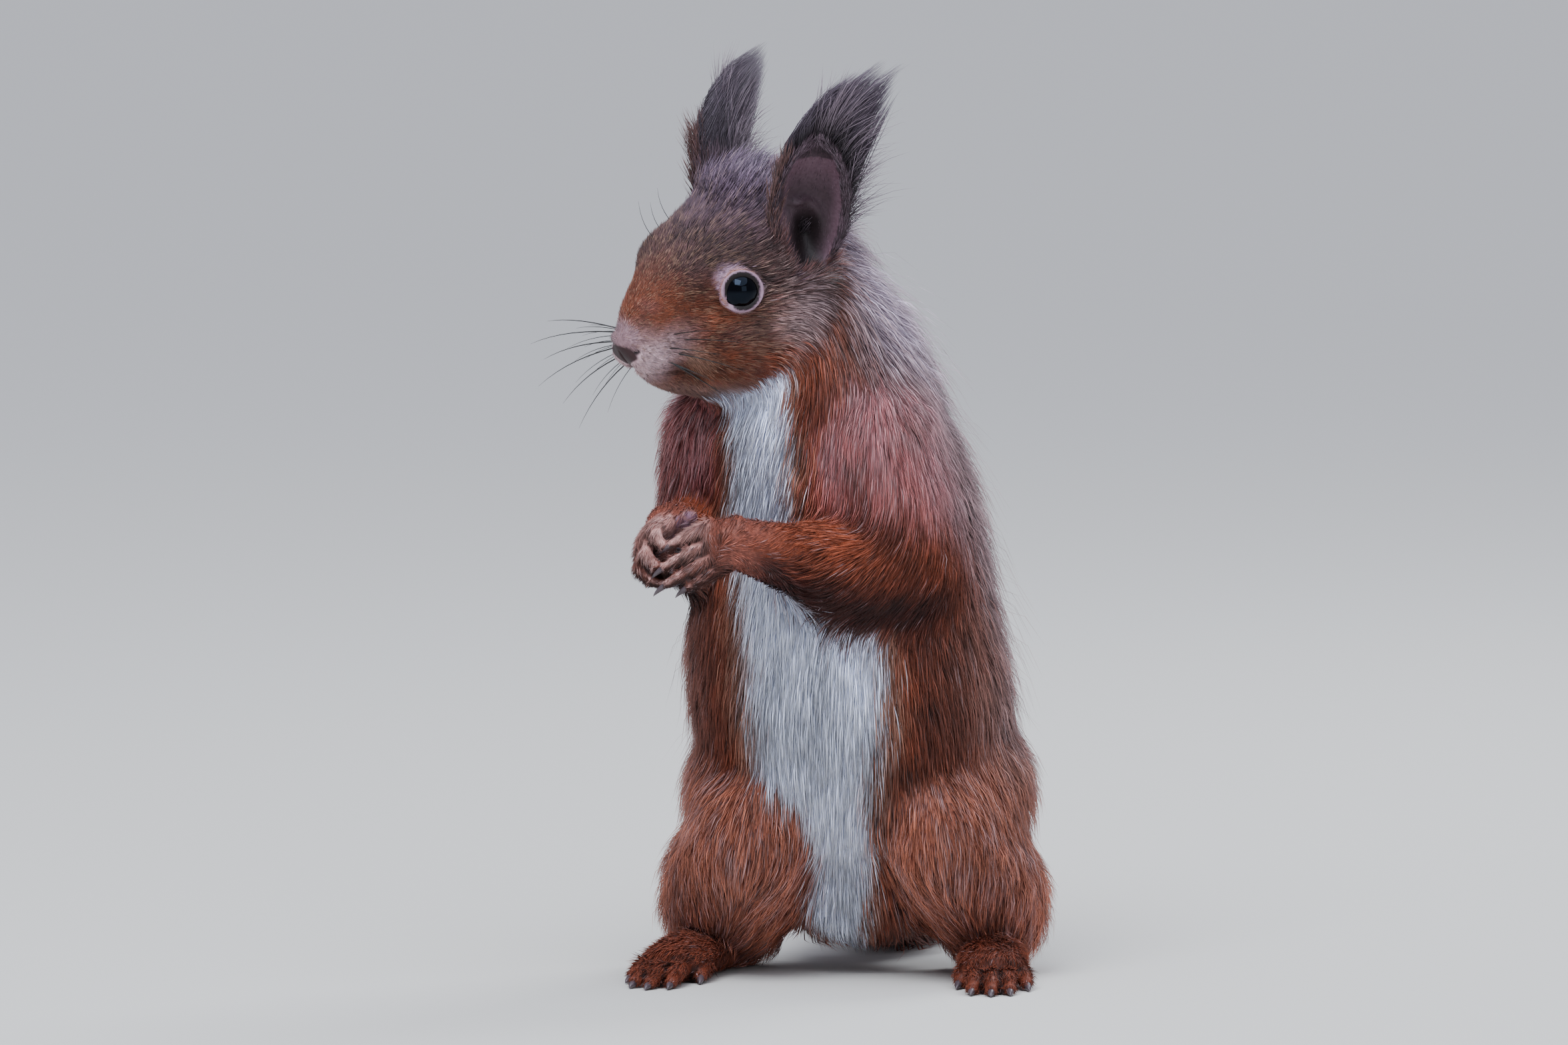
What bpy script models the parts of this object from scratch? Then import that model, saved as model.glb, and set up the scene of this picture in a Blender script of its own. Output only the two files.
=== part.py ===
"""A red squirrel, life size, as a still model.

It stands upright on its hind feet with its forepaws together before the chest, the chest and head turned
to its right, and its tail laid on the floor behind it. The solids are the outer surface of the coat, out to
the tips of the ear tufts, whiskers and brush. The trunk, head, arms and legs are modelled as one blended
body, and then parted by thin curved cuts into the parts that a person would name.

Numbers are in millimetres, and MM turns them to metres. +Z is up, the hips face -Y, the animal's left is +X.
A limb's numbers are written for the left side, and SIDES mirrors them, apart from the arms, which differ.
"""

from math import cos, radians, sin

import bmesh
import bpy
import numpy as np
from mathutils import Matrix, Vector

MM = 0.001
GAP = 0.3  # between neighbouring solids
SIDES = {"left": 1, "right": -1}

# Driving sizes
EYE_RADIUS = 4.6
EYE_PLACE = (12.2, 23.0, 7.8)  # in the head, measured from the nose tip
EAR_NOTCH = (15.0, 38.5, 11.0)
EAR_TIP = (19.5, 40.5, 36.5)
TUFT_TIP = {"left": (22.0, 56.5, 51.0), "right": (20.0, 56.0, 46.5)}
TUFT_WIDTH = {"left": 7.8, "right": 6.4}  # half of it, where the tuft leaves the ear
EAR_OPENING = radians(20)  # how far forward of straight sideways each ear opens
HEAD_TURN = radians(-45)  # about the vertical, to the animal's right
HEAD_TILT = radians(8)  # its crown leans to its left
HEAD_NOD = radians(12)  # the nose dips
NOSE_TIP = Vector((-42.6, -33.0, 134.2))
CHEST_TURN = radians(-28)
HEEL = (28.5, 13.0, 5.0)
FOOT_TURN = radians(9)  # the toes point outwards
FOOT_LENGTH = 37.0  # from the heel to the root of the middle toe
TAIL_ROOT = Vector((1.0, 26.0, 21.0))
TAIL_TIP = Vector((-24.0, 204.0, 6.0))

# Colours of the coat, as linear red, green and blue, with a roughness
COAT = {
    "grey_brown_coat": ((0.20, 0.11, 0.075), 0.85),
    "red_coat": ((0.38, 0.11, 0.035), 0.85),
    "white_coat": ((0.78, 0.76, 0.76), 0.85),
    "dark_coat": ((0.055, 0.03, 0.028), 0.85),
    "eye_gloss": ((0.012, 0.008, 0.006), 0.08),
}


# ---- general tools ----


def clear_scene():
    for obj in list(bpy.data.objects):
        bpy.data.objects.remove(obj, do_unlink=True)


def coat_material(name):
    made = bpy.data.materials.get(name)
    if made is None:
        colour, roughness = COAT[name]
        made = bpy.data.materials.new(name)
        made.use_nodes = True
        shader = made.node_tree.nodes["Principled BSDF"]
        shader.inputs["Base Color"].default_value = (*colour, 1)
        shader.inputs["Roughness"].default_value = roughness
        shader.inputs["Metallic"].default_value = 0.0
    return made


def object_from(name, mesh):
    obj = bpy.data.objects.new(name, mesh)
    bpy.context.scene.collection.objects.link(obj)
    return obj


def drop(*objs):
    for obj in objs:
        bpy.data.objects.remove(obj, do_unlink=True)


def settle(obj):
    """Makes what the modifiers show the object's own mesh."""
    bpy.context.view_layer.update()
    graph = bpy.context.evaluated_depsgraph_get()
    mesh = bpy.data.meshes.new_from_object(obj.evaluated_get(graph))
    obj.modifiers.clear()
    obj.data = mesh
    return obj


def mirrored(point, side):
    return Vector((point[0] * SIDES[side], point[1], point[2]))


def through(rows, count):
    """count rows on a smooth curve through all the rows, evenly spaced in row number (Catmull-Rom)."""
    rows = np.array(rows, float)
    padded = np.vstack([2 * rows[0] - rows[1], rows, 2 * rows[-1] - rows[-2]])
    made = []
    for at in np.linspace(0, len(rows) - 1, count):
        i = min(int(at), len(rows) - 2)
        t = at - i
        a, b, c, d = padded[i : i + 4]
        made.append(
            b
            + 0.5 * t * (c - a)
            + t * t * (a - 2.5 * b + 2 * c - 0.5 * d)
            + t**3 * (1.5 * (b - c) + 0.5 * (d - a))
        )
    return np.array(made)


def ring_place(centre, along, side, half_side, half_depth):
    """The matrix that sets a unit circle across a path, its X towards side."""
    along = Vector(along).normalized()
    side = Vector(side)
    side = (side - side.project(along)).normalized()
    axes = Matrix((side * half_side, along.cross(side) * half_depth, along)).transposed()
    return Matrix.Translation(centre) @ axes.to_4x4()


ROUNDING = [radians(a) for a in (32, 58, 76)]  # the rings that round a loft's end


def loft(name, stations, side=(1, 0, 0), rings=12, segments=20):
    """A closed body through stations (x, y, z, half width, half depth), with round ends.

    The half width is measured towards side, and the half depth across it."""
    rows = through(stations, rings)
    centres = [Vector(row[:3]) for row in rows]
    places = []
    for i, row in enumerate(rows):
        along = centres[min(i + 1, rings - 1)] - centres[max(i - 1, 0)]
        places.append((centres[i], along, max(row[3], 0.05), max(row[4], 0.05)))
    for end, sign in ((0, -1), (-1, 1)):
        centre, along, half_side, half_depth = places[end]
        reach = min(half_side, half_depth) * sign
        caps = [
            (centre + along.normalized() * reach * sin(a), along, half_side * cos(a), half_depth * cos(a))
            for a in ROUNDING
        ]
        places = places + caps if sign > 0 else caps[::-1] + places
    bm = bmesh.new()
    loops = []
    for centre, along, half_side, half_depth in places:
        matrix = ring_place(centre, along, side, half_side, half_depth)
        verts = bmesh.ops.create_circle(bm, segments=segments, radius=1, matrix=matrix)["verts"]
        loops.append(list({edge for v in verts for edge in v.link_edges}))
    for lower, upper in zip(loops, loops[1:]):
        bmesh.ops.bridge_loops(bm, edges=lower + upper)
    bmesh.ops.holes_fill(bm, edges=loops[0] + loops[-1], sides=segments)
    bmesh.ops.recalc_face_normals(bm, faces=bm.faces)
    mesh = bpy.data.meshes.new(name)
    bm.to_mesh(mesh)
    bm.free()
    return object_from(name, mesh)


def spike(name, points, radius):
    """A three-sided bristle along the points, from its full radius to a sharp tip."""
    bm = bmesh.new()
    steps = len(points) - 1
    rings = []
    for i, point in enumerate(points[:-1]):
        along = points[i + 1] - points[max(i - 1, 0)]
        thick = radius * (1 - 0.7 * i / steps)
        matrix = ring_place(point, along, (0, 0, 1), thick, thick)
        made = bmesh.ops.create_circle(bm, cap_ends=i == 0, segments=3, radius=1, matrix=matrix)
        rings.append(made["verts"])
    tip = bm.verts.new(points[-1])
    for lower, upper in zip(rings, rings[1:] + [[tip] * 3]):
        for k in range(3):
            bm.faces.new(dict.fromkeys((lower[k], lower[(k + 1) % 3], upper[(k + 1) % 3], upper[k])))
    bmesh.ops.recalc_face_normals(bm, faces=bm.faces)
    mesh = bpy.data.meshes.new(name)
    bm.to_mesh(mesh)
    bm.free()
    return object_from(name, mesh)


def ball(name, centre, radii, segments=24):
    bm = bmesh.new()
    matrix = Matrix.Translation(centre) @ Matrix.Diagonal((*radii, 1))
    bmesh.ops.create_uvsphere(bm, u_segments=segments, v_segments=segments // 2, radius=1, matrix=matrix)
    mesh = bpy.data.meshes.new(name)
    bm.to_mesh(mesh)
    bm.free()
    return object_from(name, mesh)


def joined(name, pieces):
    """The pieces as one object, which may still overlap each other."""
    bm = bmesh.new()
    for piece in pieces:
        start = len(bm.verts)
        bm.from_mesh(piece.data)
        bm.verts.ensure_lookup_table()
        bmesh.ops.transform(bm, matrix=piece.matrix_world, verts=bm.verts[start:])
    mesh = bpy.data.meshes.new(name)
    bm.to_mesh(mesh)
    bm.free()
    drop(*pieces)
    return object_from(name, mesh)


def blended(name, pieces, voxel, passes):
    """Overlapping pieces made one closed skin of small faces, with their creases smoothed out."""
    obj = joined(name, pieces)
    remesh = obj.modifiers.new("skin", "REMESH")
    remesh.mode = "VOXEL"
    remesh.voxel_size = voxel
    smooth = obj.modifiers.new("soften", "SMOOTH")
    smooth.factor = 0.5
    smooth.iterations = passes
    return settle(obj)


def thinned(obj, triangles):
    """Collapses the edges that shape the surface least, until about this many triangles are left."""
    now = sum(len(face.vertices) - 2 for face in obj.data.polygons)
    decimate = obj.modifiers.new("thin", "DECIMATE")
    decimate.ratio = min(1.0, triangles / now)
    decimate.use_collapse_triangulate = True
    return settle(obj)


def swollen(obj, name, amount):
    """A copy with its surface moved outwards."""
    copy = object_from(name, obj.data.copy())
    copy.matrix_world = obj.matrix_world.copy()
    grow = copy.modifiers.new("swell", "DISPLACE")
    grow.mid_level = 0.0
    grow.strength = amount
    return settle(copy)


def combined(obj, other, operation):
    boolean = obj.modifiers.new("combine", "BOOLEAN")
    boolean.object = other
    boolean.operation = operation
    boolean.solver = "EXACT"
    return settle(obj)


def largest_shell(obj):
    """Drops the crumbs that a cut leaves, and keeps the main body."""
    bm = bmesh.new()
    bm.from_mesh(obj.data)
    bmesh.ops.remove_doubles(bm, verts=bm.verts, dist=1e-3)
    left, shells = set(bm.verts), []
    while left:
        todo, shell = [left.pop()], []
        while todo:
            vert = todo.pop()
            shell.append(vert)
            for edge in vert.link_edges:
                other = edge.other_vert(vert)
                if other in left:
                    left.remove(other)
                    todo.append(other)
        shells.append(shell)
    shells.sort(key=len)
    bmesh.ops.delete(bm, geom=[v for shell in shells[:-1] for v in shell], context="VERTS")
    bm.to_mesh(obj.data)
    bm.free()
    return obj


def part_off(body, name, cell):
    """Takes what lies inside the cell off the body as an object of its own, a thin gap apart."""
    piece = object_from(name, body.data.copy())
    largest_shell(combined(piece, cell, "INTERSECT"))
    wider = swollen(cell, "wider_cell", GAP)
    largest_shell(combined(body, wider, "DIFFERENCE"))
    drop(cell, wider)
    return piece


def cut_clear(obj, *neighbours):
    """Cuts the object back from its neighbours, to a thin gap."""
    for neighbour in neighbours:
        wider = swollen(neighbour, "wider_neighbour", GAP)
        combined(obj, wider, "DIFFERENCE")
        drop(wider)
    return largest_shell(obj)


def floor_flat(obj):
    """Cuts off what reaches below the floor, and leaves a small flat there."""
    bm = bmesh.new()
    bm.from_mesh(obj.data)
    everything = bm.verts[:] + bm.edges[:] + bm.faces[:]
    cut = bmesh.ops.bisect_plane(
        bm, geom=everything, dist=1e-4, plane_co=(0, 0, 0), plane_no=(0, 0, -1), clear_outer=True
    )
    rim = [item for item in cut["geom_cut"] if isinstance(item, bmesh.types.BMEdge)]
    bmesh.ops.holes_fill(bm, edges=rim, sides=0)
    bmesh.ops.triangulate(bm, faces=bm.faces)
    bmesh.ops.recalc_face_normals(bm, faces=bm.faces)
    bm.to_mesh(obj.data)
    bm.free()
    return obj


# ---- the head: written level, with the nose tip at the origin, back along +Y ----

HEAD = (
    Matrix.Translation(NOSE_TIP)
    @ Matrix.Rotation(HEAD_TURN, 4, "Z")
    @ Matrix.Rotation(HEAD_TILT, 4, "Y")
    @ Matrix.Rotation(HEAD_NOD, 4, "X")
)

# Along the skull: distance behind the nose tip, top, bottom, half width
SKULL = (
    (0.8, 1.9, -3.0, 2.5),
    (3.0, 5.6, -6.2, 4.9),
    (6.0, 9.0, -8.0, 6.5),
    (10.0, 13.2, -10.0, 8.5),
    (15.0, 17.6, -12.0, 11.2),
    (20.0, 21.4, -13.5, 13.6),
    (26.0, 24.8, -14.5, 15.6),
    (32.0, 27.6, -15.0, 16.8),
    (37.5, 29.0, -14.0, 16.6),
    (42.5, 24.0, -10.0, 13.0),
)
JAW = ((7.5, -8.8, 3.4, 3.2), (13.0, -10.5, 5.6, 4.8), (21.0, -11.5, 8.5, 6.5), (29.0, -11.5, 10.0, 7.5))


def in_head(obj):
    obj.data.transform(HEAD)
    return obj


def head_masses():
    stations = [(0, y, (top + low) / 2, wide, (top - low) / 2) for y, top, low, wide in SKULL]
    pieces = [loft("skull", stations, rings=20, segments=28)]
    pieces.append(loft("jaw", [(0, *row) for row in JAW], rings=10))
    for side in SIDES:
        pieces.append(ball("cheek", mirrored((8.8, 25.5, -4.5), side), (8.4, 14.5, 10.0)))
        pieces.append(ball("whisker_pad", mirrored((3.4, 7.0, -3.4), side), (4.6, 7.0, 4.8)))
        pieces.append(ball("brow", mirrored((7.0, 23.0, 11.5), side), (7.4, 12.5, 8.4)))
        pieces.append(ball("temple", mirrored((7.4, 24.5, 3.5), side), (8.2, 12.0, 8.0)))
        pieces.append(ball("ear_root", mirrored((12.0, 40.0, 18.5), side), (6.0, 7.5, 8.5)))
    return [in_head(piece) for piece in pieces]


def eye(side):
    made = ball(f"eye_{side}", mirrored(EYE_PLACE, side), (EYE_RADIUS,) * 3, segments=12)
    return in_head(made)


# ---- the whiskers: stiff tapered bristles from the upper lip, rooted under its coat ----

WHISKER_RADIUS = 0.3
WHISKERS = (  # in the head: out from the middle, behind the nose tip, up, then rise and length
    (3.4, 6.5, -0.6, 0.36, 18.5),
    (3.8, 8.2, -1.4, 0.16, 22.5),
    (3.4, 5.6, -2.2, 0.06, 18.0),
    (4.0, 7.6, -3.2, -0.12, 21.0),
    (3.4, 6.2, -4.2, -0.34, 16.5),
    (3.8, 8.4, -5.0, -0.62, 17.5),
)
WHISKER_LIE = {  # how far they are swept back, how much of their fan they keep, and share of their length
    "left": (0.42, 0.75, 0.8),
    "right": (-0.68, 1.0, 1.3),
}
WHISKER_BOW = Vector((0.0, 0.20, -0.26))  # how far the tip is carried back and down, as a share of the length


def whisker(side, row, body):
    out, back, up, rise, length = WHISKERS[row]
    sweep, fan, share = WHISKER_LIE[side]
    root = mirrored((out, back, up), side)
    way = Vector((0.75 * SIDES[side], sweep, 0.2 + (rise - 0.2) * fan)).normalized()
    points = [root + (way * t + WHISKER_BOW * fan * t * t) * length * share for t in (0, 0.3, 0.55, 0.8, 1)]
    return cut_clear(in_head(spike(f"whisker_{side}_{row + 1}", points, WHISKER_RADIUS)), body)


# ---- the ears: a cupped leaf that opens outwards and forwards, with a tuft from its back and tip ----

# half the leaf's width along it
PINNA_WIDTH = ((0.0, 5.5), (0.2, 8.2), (0.45, 9.3), (0.7, 8.6), (0.88, 6.2), (1.0, 2.6))
PINNA_CUP = 4.6  # how deep the leaf is cupped
PINNA_WALL = 2.4
EAR_TRIANGLES = 260


def ear(side):
    notch, tip = mirrored(EAR_NOTCH, side), mirrored(EAR_TIP, side)
    up = (tip - notch).normalized()
    opening = Vector((SIDES[side] * cos(EAR_OPENING), -sin(EAR_OPENING), 0.1))
    opening = (opening - opening.project(up)).normalized()
    across = up.cross(opening)
    rows, columns = 9, 9
    widths = through(PINNA_WIDTH, rows)
    bm = bmesh.new()
    bmesh.ops.create_grid(bm, x_segments=columns - 1, y_segments=rows - 1, size=1)
    for vert in bm.verts:
        share, turn = (vert.co.y + 1) / 2, vert.co.x
        half = np.interp(share, widths[:, 0], widths[:, 1])
        cup = PINNA_CUP * (half / PINNA_WIDTH[2][1]) * (1 - turn * turn)
        vert.co = notch.lerp(tip, share) + across * half * turn - opening * cup
    mesh = bpy.data.meshes.new("pinna")
    bm.to_mesh(mesh)
    bm.free()
    pinna = object_from("pinna", mesh)
    wall = pinna.modifiers.new("wall", "SOLIDIFY")
    wall.thickness = PINNA_WALL
    wall.offset = 0.0
    settle(pinna)
    wide = TUFT_WIDTH[side]
    behind = notch.lerp(tip, 0.35) - opening * 4.2
    ridge = notch.lerp(tip, 0.86) - opening * 2.8
    end = mirrored(TUFT_TIP[side], side)
    middle = ridge.lerp(end, 0.5) + up * 1.6
    stations = [
        (*behind, wide * 0.8, 2.4),
        (*ridge, wide, 3.2),
        (*middle, wide * 0.85, 2.6),
        (*end, 1.4, 0.6),
    ]
    tuft = loft("tuft", stations, side=across, rings=12, segments=14)
    made = blended(f"ear_{side}", [pinna, tuft], voxel=0.75, passes=2)
    return in_head(thinned(made, EAR_TRIANGLES))


# ---- the trunk and neck: stations x, y, z, half width, half depth ----

TRUNK = (
    (1.0, 9.0, 27.0, 26.0, 22.0),
    (1.2, 6.5, 40.0, 31.5, 29.0),
    (1.0, 4.0, 56.0, 34.0, 31.5),
    (-1.0, 2.0, 76.0, 33.3, 30.0),
    (-1.0, 0.0, 96.0, 30.0, 27.5),
    (-3.6, -1.5, 112.0, 27.0, 24.5),
    (-4.8, -3.0, 124.0, 24.5, 22.0),
    (-7.6, -4.6, 132.0, 22.8, 20.2),
    (-10.8, -7.4, 139.0, 21.2, 18.2),
)


def trunk_masses():
    body = loft("trunk", TRUNK, side=(cos(CHEST_TURN / 2), sin(CHEST_TURN / 2), 0), rings=28, segments=36)
    rump = ball("rump", (1.0, 20.0, 30.0), (24.0, 18.0, 20.0))
    return [body, rump, ball("nape", (-9.0, -3.5, 146.5), (15.0, 14.0, 15.0))]


# ---- the arms. Lengths along the chest: fwd is before its axis, left is beside it ----

FORWARD = Vector((sin(CHEST_TURN), -cos(CHEST_TURN), 0))
LEFTWARD = Vector((cos(CHEST_TURN), sin(CHEST_TURN), 0))
CHEST_AXIS = Vector((-3.5, 0.0, 0.0))


def by_chest(fwd, left, height):
    return CHEST_AXIS + FORWARD * fwd + LEFTWARD * left + Vector((0, 0, height))


ARMS = {
    "left": {
        "shoulder": by_chest(7.0, 18.5, 116.0),
        "elbow": by_chest(6.0, 25.5, 86.0),
        "wrist": by_chest(43.0, 6.5, 94.0),
        "fingers": by_chest(54.0, -5.5, 85.0),
    },
    "right": {
        "shoulder": by_chest(11.0, -20.5, 114.0),
        "elbow": by_chest(10.0, -25.5, 90.0),
        "wrist": by_chest(39.5, -12.5, 95.5),
        "fingers": by_chest(49.0, -12.0, 91.0),
    },
}


def arm_stations(side):
    arm = ARMS[side]
    top, low, end = arm["shoulder"], arm["elbow"], arm["wrist"]
    upper = [(*top, 12.0, 13.0), (*top.lerp(low, 0.55), 11.0, 12.5), (*low, 9.5, 11.0)]
    middle = low.lerp(end, 0.45) - Vector((0, 0, 1.5))
    fore = [(*low, 9.5, 10.5), (*middle, 8.0, 9.4), (*end, 5.2, 5.6)]
    return {"upper_arm": upper, "forearm": fore}


# ---- a paw: a palm or sole, and digits of three bones each with a claw ----

PAW_TRIANGLES = {"hand": 720, "foot": 640}


def digit(name, root, along, palm_side, bones, radius, bends, claw):
    """One digit from its knuckle: each bone turns further to the palm, and a claw curves from its end."""
    along, palm_side = Vector(along).normalized(), Vector(palm_side)
    palm_side = (palm_side - palm_side.project(along)).normalized()
    turn_axis = along.cross(palm_side)
    at, stations = Vector(root), [(*root, radius, radius)]
    for i, (bone, bend) in enumerate(zip(bones, bends)):
        along = Matrix.Rotation(bend, 3, turn_axis) @ along
        at = at + along * bone
        share = 1 - 0.09 * (i + 1)
        stations.append((*at, radius * share, radius * share))
    finger = loft(name, stations, side=turn_axis, rings=11, segments=10)
    nail, point = [], at + along * radius * 0.3
    for i in range(4):
        thick = radius * (0.62, 0.5, 0.32, 0.12)[i]
        nail.append((*point, thick * 0.75, thick))
        along = Matrix.Rotation(radians(17), 3, turn_axis) @ along
        point = point + along * claw / 3
    return [finger, loft(name + "_claw", nail, side=turn_axis, rings=6, segments=8)]


PALM_LENGTH = 9.0
FINGERS = {  # across the palm from the thumb's side: place, spread in degrees, bone lengths
    "index": (4.0, 13, (4.4, 3.6, 2.4)),
    "middle": (1.4, 4, (5.2, 4.2, 2.6)),
    "ring": (-1.4, -5, (5.2, 4.2, 2.6)),
    "little": (-4.0, -15, (4.2, 3.4, 2.3)),
}
HAND_LIE = {  # where the back of each hand faces, and how far its fingers bend
    "left": (FORWARD * 0.35 + LEFTWARD * 0.75 + Vector((0, 0, 0.55)), 11),
    "right": (FORWARD * 0.6 - LEFTWARD * 0.75 + Vector((0, 0, 0.45)), 33),
}


def hand(side):
    """The palm runs from the wrist, and four fingers bend round what the animal would hold."""
    arm = ARMS[side]
    back, bend = HAND_LIE[side]
    along = (arm["fingers"] - arm["wrist"]).normalized()
    back = (back - back.project(along)).normalized()
    thumbward = along.cross(back) * -SIDES[side]
    if thumbward.z < 0:
        thumbward = -thumbward
    start = arm["wrist"] - along * 1.5
    knuckles = start + along * (PALM_LENGTH + 1.5)
    stations = [(*start, 4.4, 3.8), (*start.lerp(knuckles, 0.6), 5.4, 3.7), (*knuckles, 5.6, 2.9)]
    pieces = [loft("palm", stations, side=thumbward, rings=8, segments=18)]
    for name, (place, spread, bones) in FINGERS.items():
        root = knuckles + thumbward * place - along * (1.2 + 0.07 * place * place) + back * 0.4
        direction = along + thumbward * sin(radians(spread))
        bends = [radians(bend * share) for share in (0.6, 1.3, 1.5)]
        pieces += digit(name, root, direction, -back, bones, 1.85, bends, 4.2)
    thumb = start.lerp(knuckles, 0.45) + thumbward * 4.6 - back * 2.0
    thumb_end = thumb + along * 2.6 + thumbward * 1.4
    pieces.append(loft("thumb", [(*thumb, 1.9, 1.9), (*thumb_end, 1.5, 1.5)], rings=5))
    pieces.append(ball("heel_pad", start.lerp(knuckles, 0.35) - back * 2.2, (3.2, 3.2, 3.2), segments=12))
    return thinned(blended(f"hand_{side}", pieces, voxel=0.6, passes=2), PAW_TRIANGLES["hand"])


# ---- the legs ----

LEG = {
    "thigh": ((14.0, 16.0, 42.0, 18.0, 19.0), (19.5, 4.0, 38.0, 17.8, 21.0), (19.0, -14.0, 32.0, 12.5, 14.0)),
    "shank": ((19.5, -15.0, 31.0, 12.2, 13.0), (25.0, 2.0, 20.5, 15.0, 15.0), (28.0, 12.0, 10.5, 13.5, 10.5)),
}
LEG_SHIFT = 2.4  # the weight is a little over the left leg
TOES = {  # across the sole from the inner side: place, spread in degrees, bone lengths
    "first": (-4.9, -13, (3.8, 3.0, 2.2)),
    "second": (-3.1, -5, (5.4, 4.4, 2.6)),
    "third": (-0.2, 0, (5.8, 4.7, 2.8)),
    "fourth": (2.8, 4, (5.5, 4.5, 2.7)),
    "fifth": (5.2, 12, (4.2, 3.3, 2.3)),
}
TOE_SETBACK = {"first": 9.0, "second": 1.2, "third": 0.0, "fourth": 1.2, "fifth": 6.5}


def limb_stations(name, side):
    """A limb's stations, and the direction that their half widths are measured in."""
    if name in LEG:
        shifts = np.clip([(z - 10) / 15 * LEG_SHIFT for _, _, z, _, _ in LEG[name]], 0, LEG_SHIFT)
        return [(x * SIDES[side] + shift, *rest) for (x, *rest), shift in zip(LEG[name], shifts)], (1, 0, 0)
    return arm_stations(side)[name], LEFTWARD


def limb(name, side):
    stations, towards = limb_stations(name, side)
    return loft(f"{name}_{side}_mass", stations, side=towards, rings=12, segments=22)


def foot(side):
    """A long flat hind foot: the heel and sole on the floor, then five toes that arch and come down again."""
    outward = SIDES[side]
    heel = mirrored(HEEL, side)
    along = Vector((sin(FOOT_TURN) * outward, -cos(FOOT_TURN), 0))
    across = Vector((cos(FOOT_TURN) * outward, sin(FOOT_TURN), 0))
    roots = heel + along * FOOT_LENGTH
    stations = [
        (*(heel + Vector((0, 0, 0.6))), 6.4, 6.2),
        (*heel.lerp(roots, 0.35), 6.8, 5.6),
        (*(heel.lerp(roots, 0.75) - Vector((0, 0, 0.6))), 7.4, 4.9),
        (*(roots - Vector((0, 0, 1.6))), 6.8, 3.5),
    ]
    pieces = [loft("sole", stations, side=across, rings=12, segments=20)]
    for name, (place, spread, bones) in TOES.items():
        root = roots + across * place - along * (2.0 + TOE_SETBACK[name]) - Vector((0, 0, 2.0))
        direction = along + across * sin(radians(spread)) + Vector((0, 0, 0.16))
        bends = [radians(a) for a in (6, 16, 12)]
        pieces += digit(name, root, direction, (0, 0, -1), bones, 2.3, bends, 4.4)
    return thinned(blended(f"foot_{side}", pieces, voxel=0.65, passes=2), PAW_TRIANGLES["foot"])


# ---- the tail: a flattened brush along the floor, parted across into three lengths ----

TAIL = (
    (*TAIL_ROOT, 9.0, 9.0),
    (1.5, 46.0, 13.0, 13.5, 11.0),
    (0.0, 72.0, 11.5, 19.0, 12.5),
    (-4.0, 104.0, 12.0, 22.5, 13.5),
    (-10.0, 138.0, 11.5, 22.0, 13.0),
    (-17.0, 170.0, 9.5, 16.5, 10.5),
    (-22.0, 192.0, 7.0, 8.5, 6.5),
    (*TAIL_TIP, 1.6, 1.6),
)
TAIL_CUTS = {"tail_tip": 146.0, "tail_middle": 88.0}  # y of the nearer end of each outer length


def block(name, low, high):
    bm = bmesh.new()
    bmesh.ops.create_cube(bm, size=1)
    low, high = Vector(low), Vector(high)
    for vert in bm.verts:
        vert.co = Vector(low[i] if vert.co[i] < 0 else high[i] for i in range(3))
    mesh = bpy.data.meshes.new(name)
    bm.to_mesh(mesh)
    bm.free()
    return object_from(name, mesh)


def tail_pieces(body):
    """The brush, cut back from the rump and parted: the tip, the middle, and what is left as the base."""
    brush = loft("tail_base", TAIL, side=(1, 0, 0), rings=26, segments=20)
    cut_clear(floor_flat(brush), body)
    outer = []
    for name, y in TAIL_CUTS.items():
        outer.append(part_off(brush, name, block("cell", (-90, y, -5), (70, 300, 60))))
    return outer + [brush]


# ---- the whole animal ----

BODY_TRIANGLES = 3600
HEAD_CELL = ((0.0, 12.0, 22.0), 38.7)  # a ball whose far side runs from the jaw's angle to the nape
LIMB_CELLS = {"forearm": 1.25, "upper_arm": 1.15, "shank": 1.2, "thigh": 1.12}  # how much wider than the limb
TRUNK_CUTS = (("neck", 127.0, radians(-12)), ("chest", 74.0, radians(0)))  # height and tilt of each cut


def limb_cell(name, stations, grow, side):
    """A wider loft round a limb's own masses, which decides where the limb is parted from the trunk."""
    wider = [(x, y, z, wide * grow, deep * grow) for x, y, z, wide, deep in stations]
    return loft(name, wider, side=side, rings=4, segments=10)


def blended_body():
    masses = head_masses() + trunk_masses()
    for side in SIDES:
        masses += [limb("upper_arm", side), limb("forearm", side), limb("thigh", side), limb("shank", side)]
    return thinned(blended("body", masses, voxel=1.1, passes=12), BODY_TRIANGLES)


def parted(body):
    """The parts in the order that they are taken off the body, and what is left of it at the end."""
    centre, radius = HEAD_CELL
    pieces = [part_off(body, "head", in_head(ball("cell", centre, (radius,) * 3, segments=16)))]
    for name, grow in LIMB_CELLS.items():
        for side in SIDES:
            stations, towards = limb_stations(name, side)
            pieces.append(part_off(body, f"{name}_{side}", limb_cell("cell", stations, grow, towards)))
    for name, height, tilt in TRUNK_CUTS:
        cell = block("cell", (-90, -90, 0), (90, 90, 90))
        cell.data.transform(Matrix.Translation((0, 0, height)) @ Matrix.Rotation(tilt, 4, "X"))
        pieces.append(part_off(body, name, cell))
    body.name = "belly"
    return pieces + [body]


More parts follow.
